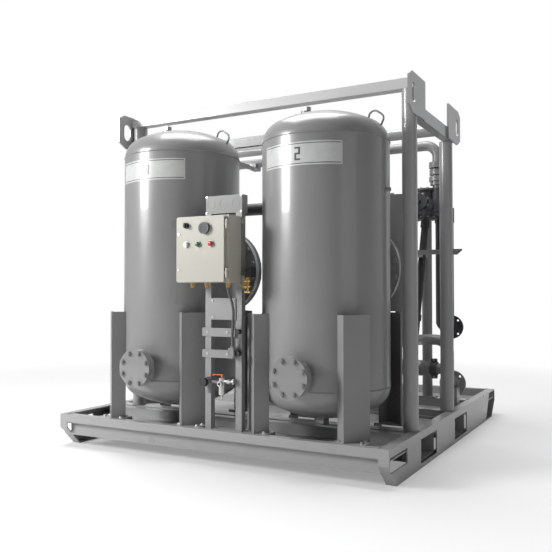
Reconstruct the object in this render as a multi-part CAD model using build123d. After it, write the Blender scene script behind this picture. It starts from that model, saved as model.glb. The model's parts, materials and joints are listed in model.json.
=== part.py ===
from build123d import *
import math
import os

# Skid-mounted twin-tower desiccant air dryer. All lengths in mm.
# While building, x is measured from the skid's centre line, y from its front edge and z from the floor.
# On export everything moves back by Y_MID, so that the origin is under the middle of the object.

# Driving dimensions of the skid
SKID_W = 2280.0
SKID_L = 2600.0
SKID_H = 210.0
RUNNER_W = 60.0
PLATE_T = 8.0
END_DROP = 89.0
END_RUN = 119.0
POCKET_LOW = 25.0
POCKET_TOP = 165.0
POCKETS_Y = ((545.0, 873.0), (1307.0, 1642.0))
NOSE_HOLE = (20.0, 300.0, 83.0, 165.0)
TAIL_TOP_Y = 2390.0
TAIL_LOW_Y = 2270.0
DECK_TOP = 148.0
DECK_T = 6.0
LIP_H = 52.0
LIP_DEPTH = 48.0
WEB_LOW = 72.0

CROSS_MEMBERS = ((406.0, 466.0, DECK_TOP), (500.0, 590.0, POCKET_TOP), (1326.0, 1386.0, POCKET_TOP),
                 (1860.0, 1950.0, DECK_TOP))

# Driving dimensions of the towers
TOWER_MID_X = 77.0
TOWER_HALF_PITCH = 527.0
TOWER_Y = 410.0
TOWER_R = 381.0
SHELL_T = 12.0
SEAM_LOW = 464.0
SEAM_TOP = 1893.0
CROWN = 190.5
DISH_R = 685.8
KNUCKLE_R = 131.8
SEAM_TURN = 20.0
LEG_TOP = 887.0
ANGLE_LONG = 152.4
ANGLE_SHORT = 88.9
ANGLE_T = 12.7
ANGLE_OFFSET = 74.4
PLUG_OUT = 128.0
PLUG_TOP = 2112.0

# Driving dimensions of the lifting frame
POST_R = 44.45
POST_HALF_PITCH = 1003.5
POST_FRONT_Y = 545.0
POST_REAR_Y = 1341.0
PIPE_WALL = 5.5
FRONT_BEAM = (76.0, 60.0)
FRONT_BEAM_LOW = 2200.0
SIDE_BEAM = (60.0, 76.0)
SIDE_BEAM_LOW = 2040.0
TUBE_WALL = 6.0
LUG_T = 12.0
LUG_REACH = 173.0
LUG_LENGTH = 308.0
LUG_TOP = 2270.0
LUG_LOW = 2034.0
SLOT_W = 65.0
SLOT_H = 115.0
SLOT_Z = 2152.0
SLOT_IN = 83.0
REAR_PIPE_R = 38.05
REAR_PIPE_Z = 2127.0
WIREWAY = (-860.0, 140.0, 60.0, 75.0)

# Flanges: outside radius, bolt circle radius, bolt hole radius, thickness, number of bolts
CLEANOUT = (114.5, 95.25, 9.5, 24.0, 8)
HANDHOLE = (298.5, 269.9, 14.3, 36.5, 16)
PORT = (95.25, 76.2, 9.5, 19.0, 4)
GASKET_T = 3.0
CLEANOUT_Z = 550.0
CLEANOUT_FACE_Y = -80.0
HANDHOLE_Z = 1165.0
HANDHOLE_FLANGE_Y = 880.0
STUD_R = {8: 8.0, 16: 12.0}

# Pipework
LINE_R = 38.05
HEADER_R = 57.15
MAIN_R = 44.45
RISER = (778.0, 1905.0)
RISER_TOP = 1573.0
TOP_PIPE_X = 865.0
VALVE_TOP = 1813.0
TOP_PIPE_Z = 2150.0
TOP_PIPE_LEFT = -1000.0
UPPER_HEADER = (1100.0, 1631.0)
LOWER_HEADER = (1650.0, 457.0)
REDUCER_X = (815.0, 872.0)
SHORT_BEND = 76.0
INLET_X = 1010.0
INLET_FLANGE = (1750.0, 343.0)
INLET_TURN_Z = 667.0
OUTLET_X = 875.0
OUTLET_FLANGE = (2240.0, 734.0)
FILTER_Y = 2060.0
FILTER_R = 70.0
FILTER_LOW = 711.0
FILTER_HEAD = (1560.0, 1673.0)
HEAD_R = 75.0
SILENCER = (810.0, 1180.0, 108.0, 885.0, 1668.0)

# Panel
STRUT = 41.0
STRUTS_X = (14.0, 224.0)
STRUT_FRONT_Y = 35.0
STRUT_TOP = 1473.0
BOX_X = (-110.0, 240.0)
BOX_Z = (1066.0, 1447.0)
BOX_FRONT_Y = -98.0
SHEET = 2.0
MOUTH_X = (-96.0, 214.0)
MOUTH_Z = (1080.0, 1433.0)
DOOR_CORNER = 10.0
PULL_BOX = (-4.0, 246.0, 62.0, 105.0)
DOOR_X = (-104.0, 221.0)
DOOR_Z = (1069.0, 1444.0)
DOOR_FACE_Y = -120.0
DOOR_DEPTH = 20.0
HINGE = (236.0, -112.0)
HINGE_PIN_R = 4.0
HINGE_KNUCKLE_R = 8.0
HINGE_ZS = (1120.0, 1393.0)
RUN_GAP = 0.06
KNOB = (-32.0, 1393.0)
SOUNDER = (95.0, 1374.0, 34.0)
LIGHTS = ((-33.0, 1284.0), (49.0, 1284.0), (136.0, 1284.0))
GLANDS = ((55.0, -40.0), (200.0, -40.0), (-44.0, -40.0))
CABLE_R = 8.0
GLAND_HOLE_R = 11.5
LEVER_VALVE = (124.0, 487.0)
REGULATOR = (20.0, 489.0)

# Sizes of the whole, used to bring the origin under the middle
KNOB_FRONT_Y = -148.0
Y_MID = (KNOB_FRONT_Y + SKID_L) / 2

RIGHT = SKID_W / 2
INNER = RIGHT - RUNNER_W
TOWERS_X = {"left": TOWER_MID_X - TOWER_HALF_PITCH, "right": TOWER_MID_X + TOWER_HALF_PITCH}
POSTS_X = {"left": TOWER_MID_X - POST_HALF_PITCH, "right": TOWER_MID_X + POST_HALF_PITCH}
AXIS_TURN = {"X": Rotation(0, 90, 0), "Y": Rotation(90, 0, 0), "Z": Rotation(0, 0, 0)}


def block(x0, x1, y0, y1, z0, z1):
    """A box between two corners."""
    return Pos((x0 + x1) / 2, (y0 + y1) / 2, (z0 + z1) / 2) * Box(x1 - x0, y1 - y0, z1 - z0)


def rod(axis, centre, radius, length):
    """A cylinder about its centre point, along X, Y or Z."""
    return Pos(*centre) * AXIS_TURN[axis] * Cylinder(radius, length)


def pipe(axis, centre, radius, length, wall=PIPE_WALL):
    """A straight pipe about its centre point."""
    return rod(axis, centre, radius, length) - rod(axis, centre, radius - wall, length + 2)


def hexagon(axis, centre, radius, length):
    """A hexagonal prism about its centre point."""
    prism = extrude(RegularPolygon(radius, 6), length / 2, both=True)
    return Pos(*centre) * AXIS_TURN[axis] * prism


def pipe_run(points, radius, bend, wall=PIPE_WALL):
    """A bent pipe along straight runs joined by tangent arcs."""
    path = FilletPolyline(*points, radius=bend) if len(points) > 2 else Line(*points)
    start = Plane(origin=path @ 0, z_dir=path % 0)
    outer = sweep(start * Circle(radius), path=path)
    inner = sweep(start * Circle(radius - wall), path=path)
    return outer - inner


def save(name, *pieces):
    """Write one node, moved so that the origin is under the middle of the object."""
    solids = [s for piece in pieces for s in piece.solids()]
    moved = [Pos(0, -Y_MID, 0) * s for s in solids]
    whole = moved[0] if len(moved) == 1 else Compound(moved)
    export_step(whole, f"parts/{name}.step")


def bolt_circle(count, radius):
    """Points of a bolt circle in its own plane, with no bolt on the centre lines."""
    step = 2 * math.pi / count
    return [(radius * math.cos((i + 0.5) * step), radius * math.sin((i + 0.5) * step)) for i in range(count)]


def flange_y(x, z, front_y, spec, bore):
    """A drilled flange whose axis is along Y, from front_y backwards."""
    outer, circle, hole, thick, count = spec
    mid = front_y + thick / 2
    ring = rod("Y", (x, mid, z), outer, thick)
    if bore > 0:
        ring = ring - rod("Y", (x, mid, z), bore, thick + 2)
    for dx, dz in bolt_circle(count, circle):
        ring = ring - rod("Y", (x + dx, mid, z + dz), hole, thick + 2)
    return ring


def studs_y(x, z, front_y, back_y, spec):
    """Studs with a nut at each end through a flange joint whose axis is along Y."""
    circle, count = spec[1], spec[4]
    radius = STUD_R[count]
    nut_h = radius * 1.6
    nut_r = radius * 1.85
    made = []
    for dx, dz in bolt_circle(count, circle):
        px, pz = x + dx, z + dz
        stud = rod("Y", (px, (front_y + back_y) / 2, pz), radius, back_y - front_y + 2 * nut_h + radius)
        front = hexagon("Y", (px, front_y - nut_h / 2, pz), nut_r, nut_h)
        back = hexagon("Y", (px, back_y + nut_h / 2, pz), nut_r, nut_h)
        made.append(stud + front + back)
    return made


# Skid

def runner(side):
    """A channel with turned-down ends, its web outwards, with the fork and end openings."""
    outer = [(0, SKID_H), (SKID_L, SKID_H), (SKID_L, SKID_H - END_DROP), (SKID_L - END_RUN, 0),
             (END_RUN, 0), (0, SKID_H - END_DROP)]
    profile = make_face(Polyline(*outer, close=True))
    inside = offset(profile, amount=-PLATE_T)
    body = extrude(Plane.YZ * profile, RUNNER_W)
    hollow = Pos(-1, 0, 0) * extrude(Plane.YZ * inside, RUNNER_W - PLATE_T + 1)
    body = body - hollow
    web0, web1 = RUNNER_W - PLATE_T - 1, RUNNER_W + 1
    for y0, y1 in POCKETS_Y:
        body = body - block(web0, web1, y0, y1, POCKET_LOW, POCKET_TOP)
    y0, y1, z0, z1 = NOSE_HOLE
    body = body - block(web0, web1, y0, y1, z0, z1)
    tail = [(TAIL_TOP_Y, SKID_H - PLATE_T), (SKID_L - PLATE_T, SKID_H - PLATE_T),
            (SKID_L - PLATE_T, SKID_H - END_DROP), (SKID_L - END_RUN - PLATE_T, PLATE_T),
            (TAIL_LOW_Y, PLATE_T)]
    tail_cut = extrude(Plane.YZ * make_face(Polyline(*tail, close=True)), RUNNER_W + 1)
    body = body - Pos(RUNNER_W / 2, 0, 0) * tail_cut
    if side == "right":
        return Pos(INNER, 0, 0) * body
    return mirror(Pos(INNER, 0, 0) * body, about=Plane.YZ)


def end_member(front):
    """A folded member across the skid: lip, top and a set-back web."""
    lip = block(-INNER, INNER, 0, PLATE_T, SKID_H - LIP_H, SKID_H)
    top = block(-INNER, INNER, 0, LIP_DEPTH, SKID_H - PLATE_T, SKID_H)
    web = block(-INNER, INNER, LIP_DEPTH - PLATE_T, LIP_DEPTH, WEB_LOW, SKID_H)
    member = lip + top + web
    if front:
        return member
    return Pos(0, SKID_L, 0) * mirror(member, about=Plane.XZ)


def box_tube(x0, x1, y0, y1, z0, z1, axis, wall=TUBE_WALL):
    """A rectangular tube, open at both ends, along X or Y."""
    gap = 2 * wall
    if axis == "X":
        return block(x0, x1, y0, y1, z0, z1) - block(x0 - 1, x1 + 1, y0 + wall, y1 - wall, z0 + wall, z1 - wall)
    width, height = x1 - x0 - gap, z1 - z0 - gap
    hollow = Pos((x0 + x1) / 2, (y0 + y1) / 2, (z0 + z1) / 2) * Box(width, y1 - y0 + 2, height)
    return block(x0, x1, y0, y1, z0, z1) - hollow


def build_skid():
    """Runners, end members, fork tubes, deck, cross members and leg bases."""
    save("runner_right", runner("right"))
    save("runner_left", runner("left"))
    save("end_members", end_member(True), end_member(False))
    reach = RIGHT - PLATE_T - 12
    tubes = [box_tube(-reach, reach, y0, y1, POCKET_LOW, POCKET_TOP, "X") for y0, y1 in POCKETS_Y]
    save("fork_tubes", *tubes)
    edge = RIGHT - PLATE_T
    bays = ((LIP_DEPTH, POCKETS_Y[0][0]), (POCKETS_Y[0][1], POCKETS_Y[1][0]),
            (POCKETS_Y[1][1], SKID_L - LIP_DEPTH))
    save("deck_plates", *[block(-edge, edge, y0, y1, DECK_TOP - DECK_T, DECK_TOP) for y0, y1 in bays])
    bases = [box_tube(-INNER, INNER, y0, y1, z0, SKID_H, "X") for y0, y1, z0 in CROSS_MEMBERS]
    save("cross_members", *bases)
    bases = []
    for x in TOWERS_X.values():
        for mirror_x in (-1, 1):
            x0, x1 = sorted((x + mirror_x * 200, x + mirror_x * 390))
            bases.append(box_tube(x0, x1, LIP_DEPTH, 145, DECK_TOP, SKID_H, "Y"))
            bases.append(box_tube(x0, x1, 675, 800, POCKET_TOP, SKID_H, "Y"))
    save("leg_bases", *bases)


# Lifting frame

def lug(side, rear):
    """A lifting plate outside the side beam, with chamfered corners and a slot."""
    y0 = POST_FRONT_Y - LUG_REACH
    y1 = y0 + LUG_LENGTH
    cut = 38.0
    beam_top = SIDE_BEAM_LOW + SIDE_BEAM[1]
    points = [(y0, LUG_LOW + cut), (y0, LUG_TOP - cut * 0.8), (y0 + cut * 1.4, LUG_TOP), (y1, LUG_TOP),
              (y1, beam_top), (y1, LUG_LOW + 6), (y0 + cut * 1.9, LUG_LOW)]
    plate = extrude(Plane.YZ * make_face(Polyline(*points, close=True)), LUG_T)
    slot = SlotOverall(SLOT_H, SLOT_W, rotation=90)
    plate = plate - extrude(Plane.YZ * (Pos(y0 + SLOT_IN, SLOT_Z) * slot), LUG_T)
    if rear:
        plate = Pos(0, POST_FRONT_Y + POST_REAR_Y, 0) * mirror(plate, about=Plane.XZ)
    plate = Pos(POST_HALF_PITCH + POST_R, 0, 0) * plate
    if side == "left":
        plate = mirror(plate, about=Plane.YZ)
    return Pos(TOWER_MID_X, 0, 0) * plate


def build_frame():
    """Posts, beams, rear pipe and lifting plates."""
    posts, front_posts = [], {}
    for side, x in POSTS_X.items():
        for row, y, top in (("front", POST_FRONT_Y, FRONT_BEAM_LOW), ("rear", POST_REAR_Y, SIDE_BEAM_LOW)):
            posts.append(pipe("Z", (x, y, (SKID_H + top) / 2), POST_R, top - SKID_H))
            front_posts[(side, row)] = rod("Z", (x, y, (SKID_H + top) / 2), POST_R, top - SKID_H)
    save("posts", *posts)
    half = POST_HALF_PITCH + POST_R
    deep, tall = FRONT_BEAM
    save("front_top_beam", box_tube(TOWER_MID_X - half, TOWER_MID_X + half, POST_FRONT_Y - deep / 2,
                                    POST_FRONT_Y + deep / 2, FRONT_BEAM_LOW, FRONT_BEAM_LOW + tall, "X"))
    wide, high = SIDE_BEAM
    beams = []
    for side, sign in (("left", -1), ("right", 1)):
        x0, x1 = sorted((TOWER_MID_X + sign * half, TOWER_MID_X + sign * (half - wide)))
        beam = box_tube(x0, x1, POST_FRONT_Y, POST_REAR_Y + POST_R, SIDE_BEAM_LOW, SIDE_BEAM_LOW + high, "Y")
        beams.append(beam - front_posts[(side, "front")])
    save("side_beams", *beams)
    rear_half = half - wide
    save("rear_cross_pipe", pipe("X", (TOWER_MID_X, POST_REAR_Y, REAR_PIPE_Z), REAR_PIPE_R, 2 * rear_half))
    wx0, wx1, wy, wz = WIREWAY
    low = REAR_PIPE_Z + REAR_PIPE_R
    way = block(wx0, wx1, POST_REAR_Y - wy / 2, POST_REAR_Y + wy / 2, low, low + wz)
    inside = block(wx0 + 2, wx1 - 2, POST_REAR_Y - wy / 2 + 2, POST_REAR_Y + wy / 2 - 2, low + 2, low + wz - 2)
    save("wireway", way - inside)
    save("lifting_plates", *[lug(side, rear) for side in ("left", "right") for rear in (False, True)])


# Towers

def vessel_solid(inset=0.0):
    """The vessel's outside, or its inside when inset by the wall, revolved about the Z axis."""
    radius, knuckle, dish = TOWER_R - inset, KNUCKLE_R - inset, DISH_R - inset
    centre = TOWER_R - KNUCKLE_R
    drop = math.sqrt((DISH_R - KNUCKLE_R) ** 2 - centre ** 2)
    split = math.degrees(math.atan2(drop, centre))
    crown = dish - drop
    edges = [CenterArc((0, SEAM_LOW + drop), dish, -90, 90 - split),
             CenterArc((centre, SEAM_LOW), knuckle, -split, split),
             Line((radius, SEAM_LOW), (radius, SEAM_TOP)),
             CenterArc((centre, SEAM_TOP), knuckle, 0, split),
             CenterArc((0, SEAM_TOP - drop), dish, split, 90 - split),
             Line((0, SEAM_TOP + crown), (0, SEAM_LOW - crown))]
    return Rotation(0, 0, SEAM_TURN) * revolve(Plane.XZ * make_face(edges), Axis.Z)


def angle_leg(mirror_x, mirror_y, foot):
    """One leg of steel angle at 45 degrees, its short flange on the shell."""
    reach = ANGLE_SHORT + math.sqrt(TOWER_R ** 2 - ANGLE_OFFSET ** 2)
    half = math.sqrt(0.5)
    heel = (reach * half - ANGLE_OFFSET * half, -reach * half - ANGLE_OFFSET * half)
    outline = [(0, 0), (ANGLE_LONG, 0), (ANGLE_LONG, ANGLE_T), (ANGLE_T, ANGLE_T), (ANGLE_T, ANGLE_SHORT),
               (0, ANGLE_SHORT)]
    section = Pos(heel[0], heel[1], foot) * Rotation(0, 0, 45) * make_face(Polyline(*outline, close=True))
    leg = extrude(section, LEG_TOP - foot) - Cylinder(TOWER_R, 4000)
    if mirror_x:
        leg = mirror(leg, about=Plane.YZ)
    if mirror_y:
        leg = mirror(leg, about=Plane.XZ)
    return leg


def head_height(distance):
    """Height of the top head above the floor at a distance from the tower's axis."""
    centre = TOWER_R - KNUCKLE_R
    drop = math.sqrt((DISH_R - KNUCKLE_R) ** 2 - centre ** 2)
    if distance < centre * DISH_R / (DISH_R - KNUCKLE_R):
        return SEAM_TOP - drop + math.sqrt(DISH_R ** 2 - distance ** 2)
    return SEAM_TOP + math.sqrt(KNUCKLE_R ** 2 - (distance - centre) ** 2)


def tower_shell(x):
    """The hollow shell and all that is welded to it, each piece meeting the shell face to face."""
    at = Pos(x, TOWER_Y, 0)
    outer = at * vessel_solid()
    shell = outer - at * vessel_solid(SHELL_T)
    welded = []
    front_y = CLEANOUT_FACE_Y + CLEANOUT[3] + GASKET_T
    port_y = TOWER_Y + TOWER_R + 40
    necks = [(front_y + CLEANOUT[3], TOWER_Y, CLEANOUT_Z, 57.15, 51.0),
             (TOWER_Y, HANDHOLE_FLANGE_Y, HANDHOLE_Z, 203.2, 190.0),
             (TOWER_Y, port_y, UPPER_HEADER[1], MAIN_R, MAIN_R - PIPE_WALL),
             (TOWER_Y, port_y, LOWER_HEADER[1], HEADER_R, HEADER_R - PIPE_WALL)]
    for y0, y1, z, r_out, r_in in necks:
        bore = rod("Y", (x, (y0 + y1) / 2, z), r_in, y1 - y0)
        neck = rod("Y", (x, (y0 + y1) / 2, z), r_out, y1 - y0)
        shell = shell - bore
        welded.append(neck - bore - outer)
    welded.append(flange_y(x, CLEANOUT_Z, front_y, CLEANOUT, 51.0))
    welded.append(flange_y(x, HANDHOLE_Z, HANDHOLE_FLANGE_Y, HANDHOLE, 190.0))
    plug_x = x - PLUG_OUT
    half = PLUG_TOP - SEAM_TOP - 100
    coupling = rod("Z", (plug_x, TOWER_Y, SEAM_TOP + 100), 34, 2 * half)
    bore = rod("Z", (plug_x, TOWER_Y, SEAM_TOP + 100), 24, 2 * half)
    shell = shell - bore
    welded.append(coupling - bore - outer)
    drain_z = SEAM_LOW - CROWN - 20
    welded.append(rod("Z", (x, TOWER_Y, drain_z), 17, 60) - outer)
    welded.append(rod("X", (x + TOWER_R, TOWER_Y, 1600), 12, 50) - outer)
    welded.append(lifting_loop(x))
    return [shell] + welded


def lifting_loop(x):
    """A bent round bar on the right shoulder of the top head."""
    foot = [(275.0, head_height(275.0)), (352.0, head_height(352.0))]
    rise = 62.0
    points = [(x + foot[0][0], TOWER_Y, foot[0][1] + 1), (x + foot[0][0] + 14, TOWER_Y, foot[0][1] + rise),
              (x + foot[1][0] + 22, TOWER_Y, foot[1][1] + rise * 0.8), (x + foot[1][0], TOWER_Y, foot[1][1] + 1)]
    path = FilletPolyline(*points, radius=34)
    bar = sweep(Plane(origin=path @ 0, z_dir=path % 0) * Circle(6), path=path)
    return bar - Pos(x, TOWER_Y, 0) * vessel_solid()


def build_towers():
    """Both towers with their legs, covers, contents and fittings."""
    studs, gaskets, plugs, legs, cleanouts, handholes, screens, beds = [], [], [], [], [], [], [], []
    for side, x in TOWERS_X.items():
        save(f"tower_{side}", *tower_shell(x))
        legs += [Pos(x, TOWER_Y, 0) * angle_leg(mx, my, SKID_H) for mx in (False, True) for my in (False, True)]
        cleanouts.append(flange_y(x, CLEANOUT_Z, CLEANOUT_FACE_Y, CLEANOUT, 0))
        cover_y = HANDHOLE_FLANGE_Y + HANDHOLE[3] + GASKET_T
        handholes.append(flange_y(x, HANDHOLE_Z, cover_y, HANDHOLE, 0))
        front_gasket = CLEANOUT_FACE_Y + CLEANOUT[3] + GASKET_T / 2
        gaskets.append(pipe("Y", (x, front_gasket, CLEANOUT_Z), 85, GASKET_T, 85 - 51))
        gaskets.append(pipe("Y", (x, cover_y - GASKET_T / 2, HANDHOLE_Z), 250, GASKET_T, 250 - 190))
        studs += studs_y(x, CLEANOUT_Z, CLEANOUT_FACE_Y, CLEANOUT_FACE_Y + 2 * CLEANOUT[3] + GASKET_T, CLEANOUT)
        studs += studs_y(x, HANDHOLE_Z, HANDHOLE_FLANGE_Y, cover_y + HANDHOLE[3], HANDHOLE)
        inside = TOWER_R - SHELL_T - 0.5
        screen_z = SEAM_LOW + 6
        screen = rod("Z", (x, TOWER_Y, screen_z), inside, 8)
        for ring_r, count in ((90, 8), (180, 16), (270, 24)):
            for i in range(count):
                turn = 2 * math.pi * i / count
                spot = (x + ring_r * math.cos(turn), TOWER_Y + ring_r * math.sin(turn), screen_z)
                screen = screen - rod("Z", spot, 12, 10)
        screens.append(screen)
        bed_low, bed_top = screen_z + 4, SEAM_TOP - 60
        beds.append(rod("Z", (x, TOWER_Y, (bed_low + bed_top) / 2), inside, bed_top - bed_low))
        plug = hexagon("Z", (x - PLUG_OUT, TOWER_Y, PLUG_TOP + 13), 30, 26)
        plugs.append(plug + rod("Z", (x - PLUG_OUT, TOWER_Y, PLUG_TOP - 20), 23.5, 40))
    save("flange_studs", *studs)
    save("flange_gaskets", *gaskets)
    save("fill_plugs", *plugs)
    save("tower_legs", *legs)
    save("cleanout_covers", *cleanouts)
    save("handhole_covers", *handholes)
    save("bed_screens", *screens)
    save("desiccant_beds", *beds)


# Pipework

def grooved_coupling(axis, centre, radius):
    """A two-part pipe coupling with bolt pads, as one solid round the pipe."""
    body = rod(axis, centre, radius + 13, 46)
    pads = {"X": (40, 26, 2 * radius + 66), "Y": (26, 40, 2 * radius + 66), "Z": (2 * radius + 66, 26, 40)}
    body = body + Pos(*centre) * Box(*pads[axis])
    return body - rod(axis, centre, radius, 60)


def tee_run(main, branch, axis, at, radius, bend):
    """A bent pipe with another coped on to it; axis and at are those of the main pipe where they meet."""
    outer = rod(axis, at, radius, 3 * radius)
    run = pipe_run(main, radius, bend)
    side = pipe_run(branch, radius, bend) - outer
    toward = Vector(*branch[-1]) - Vector(*branch[-2])
    bore = Plane(origin=Vector(*at) - toward.normalized() * radius, z_dir=toward) * Cylinder(radius - PIPE_WALL, radius)
    return [run - bore, side]


def port_flange(x, face_y, z):
    """A flange whose face looks back along +Y, and its tapered hub round the pipe."""
    hub = Pos(x, face_y - 14, z) * AXIS_TURN["Y"] * Cone(LINE_R + 16, LINE_R + 4, 28)
    ring = flange_y(x, z, face_y, PORT, LINE_R - PIPE_WALL)
    return [ring, hub - rod("Y", (x, face_y - 14, z), LINE_R, 40)]


def build_pipework():
    """Headers, risers, valve, filter, silencer, ports and their supports."""
    y_up, z_up = UPPER_HEADER
    y_low, z_low = LOWER_HEADER
    port_y = TOWER_Y + TOWER_R + 40
    left, right = TOWERS_X["left"], TOWERS_X["right"]
    rx, ry = RISER

    # Upper header: from the right tower back to the switching valve, with a branch from the left tower
    bend = 95.0
    main = [(right, port_y, z_up), (right, ry, z_up), (rx - 90, ry, z_up)]
    branch = [(left, port_y, z_up), (left, y_up, z_up), (right, y_up, z_up)]
    save("upper_header", *tee_run(main, branch, "Y", (right, y_up, z_up), MAIN_R, SHORT_BEND))

    # Lower header: from the left tower across to a reducer, with a branch from the right tower
    main = [(left, port_y, z_low), (left, y_low, z_low), (REDUCER_X[0], y_low, z_low)]
    branch = [(right, port_y, z_low), (right, y_low, z_low)]
    pieces = tee_run(main, branch, "X", (right, y_low, z_low), HEADER_R, bend)
    cone_x = sum(REDUCER_X) / 2
    cone_l = REDUCER_X[1] - REDUCER_X[0]
    cone = AXIS_TURN["X"] * Cone(HEADER_R, LINE_R, cone_l)
    core = AXIS_TURN["X"] * Cone(HEADER_R - PIPE_WALL, LINE_R - PIPE_WALL, cone_l)
    pieces.append(Pos(cone_x, y_low, z_low) * (cone - core))
    stub = pipe("X", ((REDUCER_X[1] + INLET_X) / 2, y_low, z_low), LINE_R, INLET_X - REDUCER_X[1])
    flange_at, flange_z = INLET_FLANGE
    corner = [(INLET_X, flange_at, flange_z), (INLET_X, y_low, flange_z), (INLET_X, y_low, flange_z + 250)]
    path = FilletPolyline(*corner, radius=bend)
    pipe_elbow = sweep(Plane(origin=path @ 0, z_dir=path % 0) * Circle(LINE_R), path=path)
    pieces.append(stub - pipe_elbow)
    save("lower_header", *pieces)

    # Inlet: port flange, elbow, riser with a branch opening, and a run to the silencer
    sx, sy, s_r, s_low, s_top = SILENCER
    inlet = pipe_run([(INLET_X, flange_at, flange_z), (INLET_X, y_low, flange_z),
                      (INLET_X, y_low, INLET_TURN_Z), (sx, y_low, INLET_TURN_Z),
                      (sx, sy, INLET_TURN_Z), (sx, sy, s_low)], LINE_R, bend)
    inlet = inlet - rod("X", (INLET_X - LINE_R, y_low, z_low), LINE_R - PIPE_WALL, 40)
    save("inlet_pipe", inlet, *port_flange(INLET_X, flange_at, flange_z))

    # Outlet: port flange and the line down from the filter head
    out_y, out_z = OUTLET_FLANGE
    head_mid = (FILTER_HEAD[0] + FILTER_HEAD[1]) / 2
    drop_y = out_y - 52
    tight = 44.0
    outlet = pipe_run([(OUTLET_X, out_y, out_z), (OUTLET_X, drop_y, out_z), (OUTLET_X, drop_y, head_mid),
                       (OUTLET_X, FILTER_Y + FILTER_R, head_mid)], LINE_R, tight)
    outlet = outlet - rod("Z", (OUTLET_X, FILTER_Y, head_mid), HEAD_R, 300)
    save("outlet_pipe", outlet, *port_flange(OUTLET_X, out_y, out_z))

    # Filter: head with ports, a long bowl with a round bottom, and the element inside
    head = rod("Z", (OUTLET_X, FILTER_Y, head_mid), HEAD_R, FILTER_HEAD[1] - FILTER_HEAD[0])
    head = head + rod("Z", (OUTLET_X, FILTER_Y, FILTER_HEAD[1] + 12), 26, 24)
    head = head - rod("Z", (OUTLET_X, FILTER_Y, head_mid - 12), FILTER_R - 6, FILTER_HEAD[1] - FILTER_HEAD[0] - 24)
    head = head - rod("Y", (OUTLET_X, FILTER_Y + FILTER_R, head_mid), LINE_R - PIPE_WALL, 40)
    head = head - rod("Y", (OUTLET_X, FILTER_Y - FILTER_R, z_up), 32, 40)
    save("filter_head", head)
    bowl_low = FILTER_LOW + FILTER_R
    bowl = rod("Z", (OUTLET_X, FILTER_Y, (bowl_low + FILTER_HEAD[0]) / 2), FILTER_R, FILTER_HEAD[0] - bowl_low)
    bowl = bowl + Pos(OUTLET_X, FILTER_Y, bowl_low) * Sphere(FILTER_R)
    core = rod("Z", (OUTLET_X, FILTER_Y, (bowl_low + FILTER_HEAD[0]) / 2 + 1), FILTER_R - 6,
               FILTER_HEAD[0] - bowl_low + 2)
    core = core + Pos(OUTLET_X, FILTER_Y, bowl_low) * Sphere(FILTER_R - 6)
    drain = rod("Z", (OUTLET_X, FILTER_Y, FILTER_LOW - 12), 12, 30)
    save("filter_bowl", (bowl + drain) - core)
    element_low = FILTER_LOW + 80
    element = rod("Z", (OUTLET_X, FILTER_Y, (element_low + FILTER_HEAD[0]) / 2), 45, FILTER_HEAD[0] - element_low)
    element = element + rod("Z", (OUTLET_X, FILTER_Y, (FILTER_HEAD[0] + FILTER_HEAD[1] - 24) / 2), 22,
                            FILTER_HEAD[1] - 24 - FILTER_HEAD[0])
    element = element - rod("Z", (OUTLET_X, FILTER_Y, (element_low + FILTER_HEAD[1]) / 2), 16,
                            FILTER_HEAD[1] - element_low - 20)
    save("filter_element", element)

    # Switching valve on the riser, with its side ports and a round actuator
    v_mid = (RISER_TOP + VALVE_TOP) / 2
    valve = Pos(rx, ry, v_mid) * Sphere(78)
    valve = valve + rod("Z", (rx, ry, v_mid), 52, VALVE_TOP - RISER_TOP)
    for z in (RISER_TOP + 9, VALVE_TOP - 9):
        valve = valve + rod("Z", (rx, ry, z), 82, 18)
    valve = valve + rod("X", (rx - 45, ry, z_up), 52, 90) + rod("X", (rx - 81, ry, z_up), 66, 18)
    elbow = [(rx + 20, ry, z_up), (OUTLET_X, ry, z_up), (OUTLET_X, FILTER_Y, z_up)]
    path = FilletPolyline(*elbow, radius=44)
    start = Plane(origin=path @ 0, z_dir=path % 0)
    valve = valve + sweep(start * Circle(LINE_R), path=path)
    port_mid = (z_up + VALVE_TOP) / 2
    valve = valve + rod("Z", (TOP_PIPE_X, ry, port_mid), 46, VALVE_TOP - z_up)
    valve = valve - rod("Z", (OUTLET_X, FILTER_Y, head_mid), HEAD_R, 300)
    valve = valve - sweep(start * Circle(32), path=path)
    valve = valve - rod("Z", (TOP_PIPE_X, ry, port_mid + 1), 32, VALVE_TOP - z_up + 2)
    valve = valve - rod("Z", (rx, ry, v_mid), 32, VALVE_TOP - RISER_TOP + 2)
    valve = valve - rod("X", (rx - 45, ry, z_up), 32, 92)
    save("switching_valve", valve)
    act_y = ry - 78
    actuator = rod("Y", (rx, act_y - 62, v_mid), 22, 60)
    actuator = actuator + rod("Y", (rx, act_y - 122, v_mid), 62, 60)
    actuator = actuator + rod("Y", (rx, act_y - 96, v_mid), 70, 10)
    actuator = actuator + rod("Y", (rx, act_y - 162, v_mid), 18, 20)
    valve_body = Pos(rx, ry, v_mid) * Sphere(78)
    actuator = actuator + (rod("Y", (rx, act_y - 15, v_mid), 22, 50) - valve_body)
    save("valve_actuator", actuator)

    # Riser below the valve, with its foot
    foot_t = 10.0
    riser = pipe("Z", (rx, ry, (SKID_H + foot_t + RISER_TOP) / 2), LINE_R, RISER_TOP - SKID_H - foot_t)
    foot = block(rx - 70, rx + 70, ry - 45, ry + 45, SKID_H, SKID_H + foot_t)
    save("riser_pipe", riser + foot)

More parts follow.
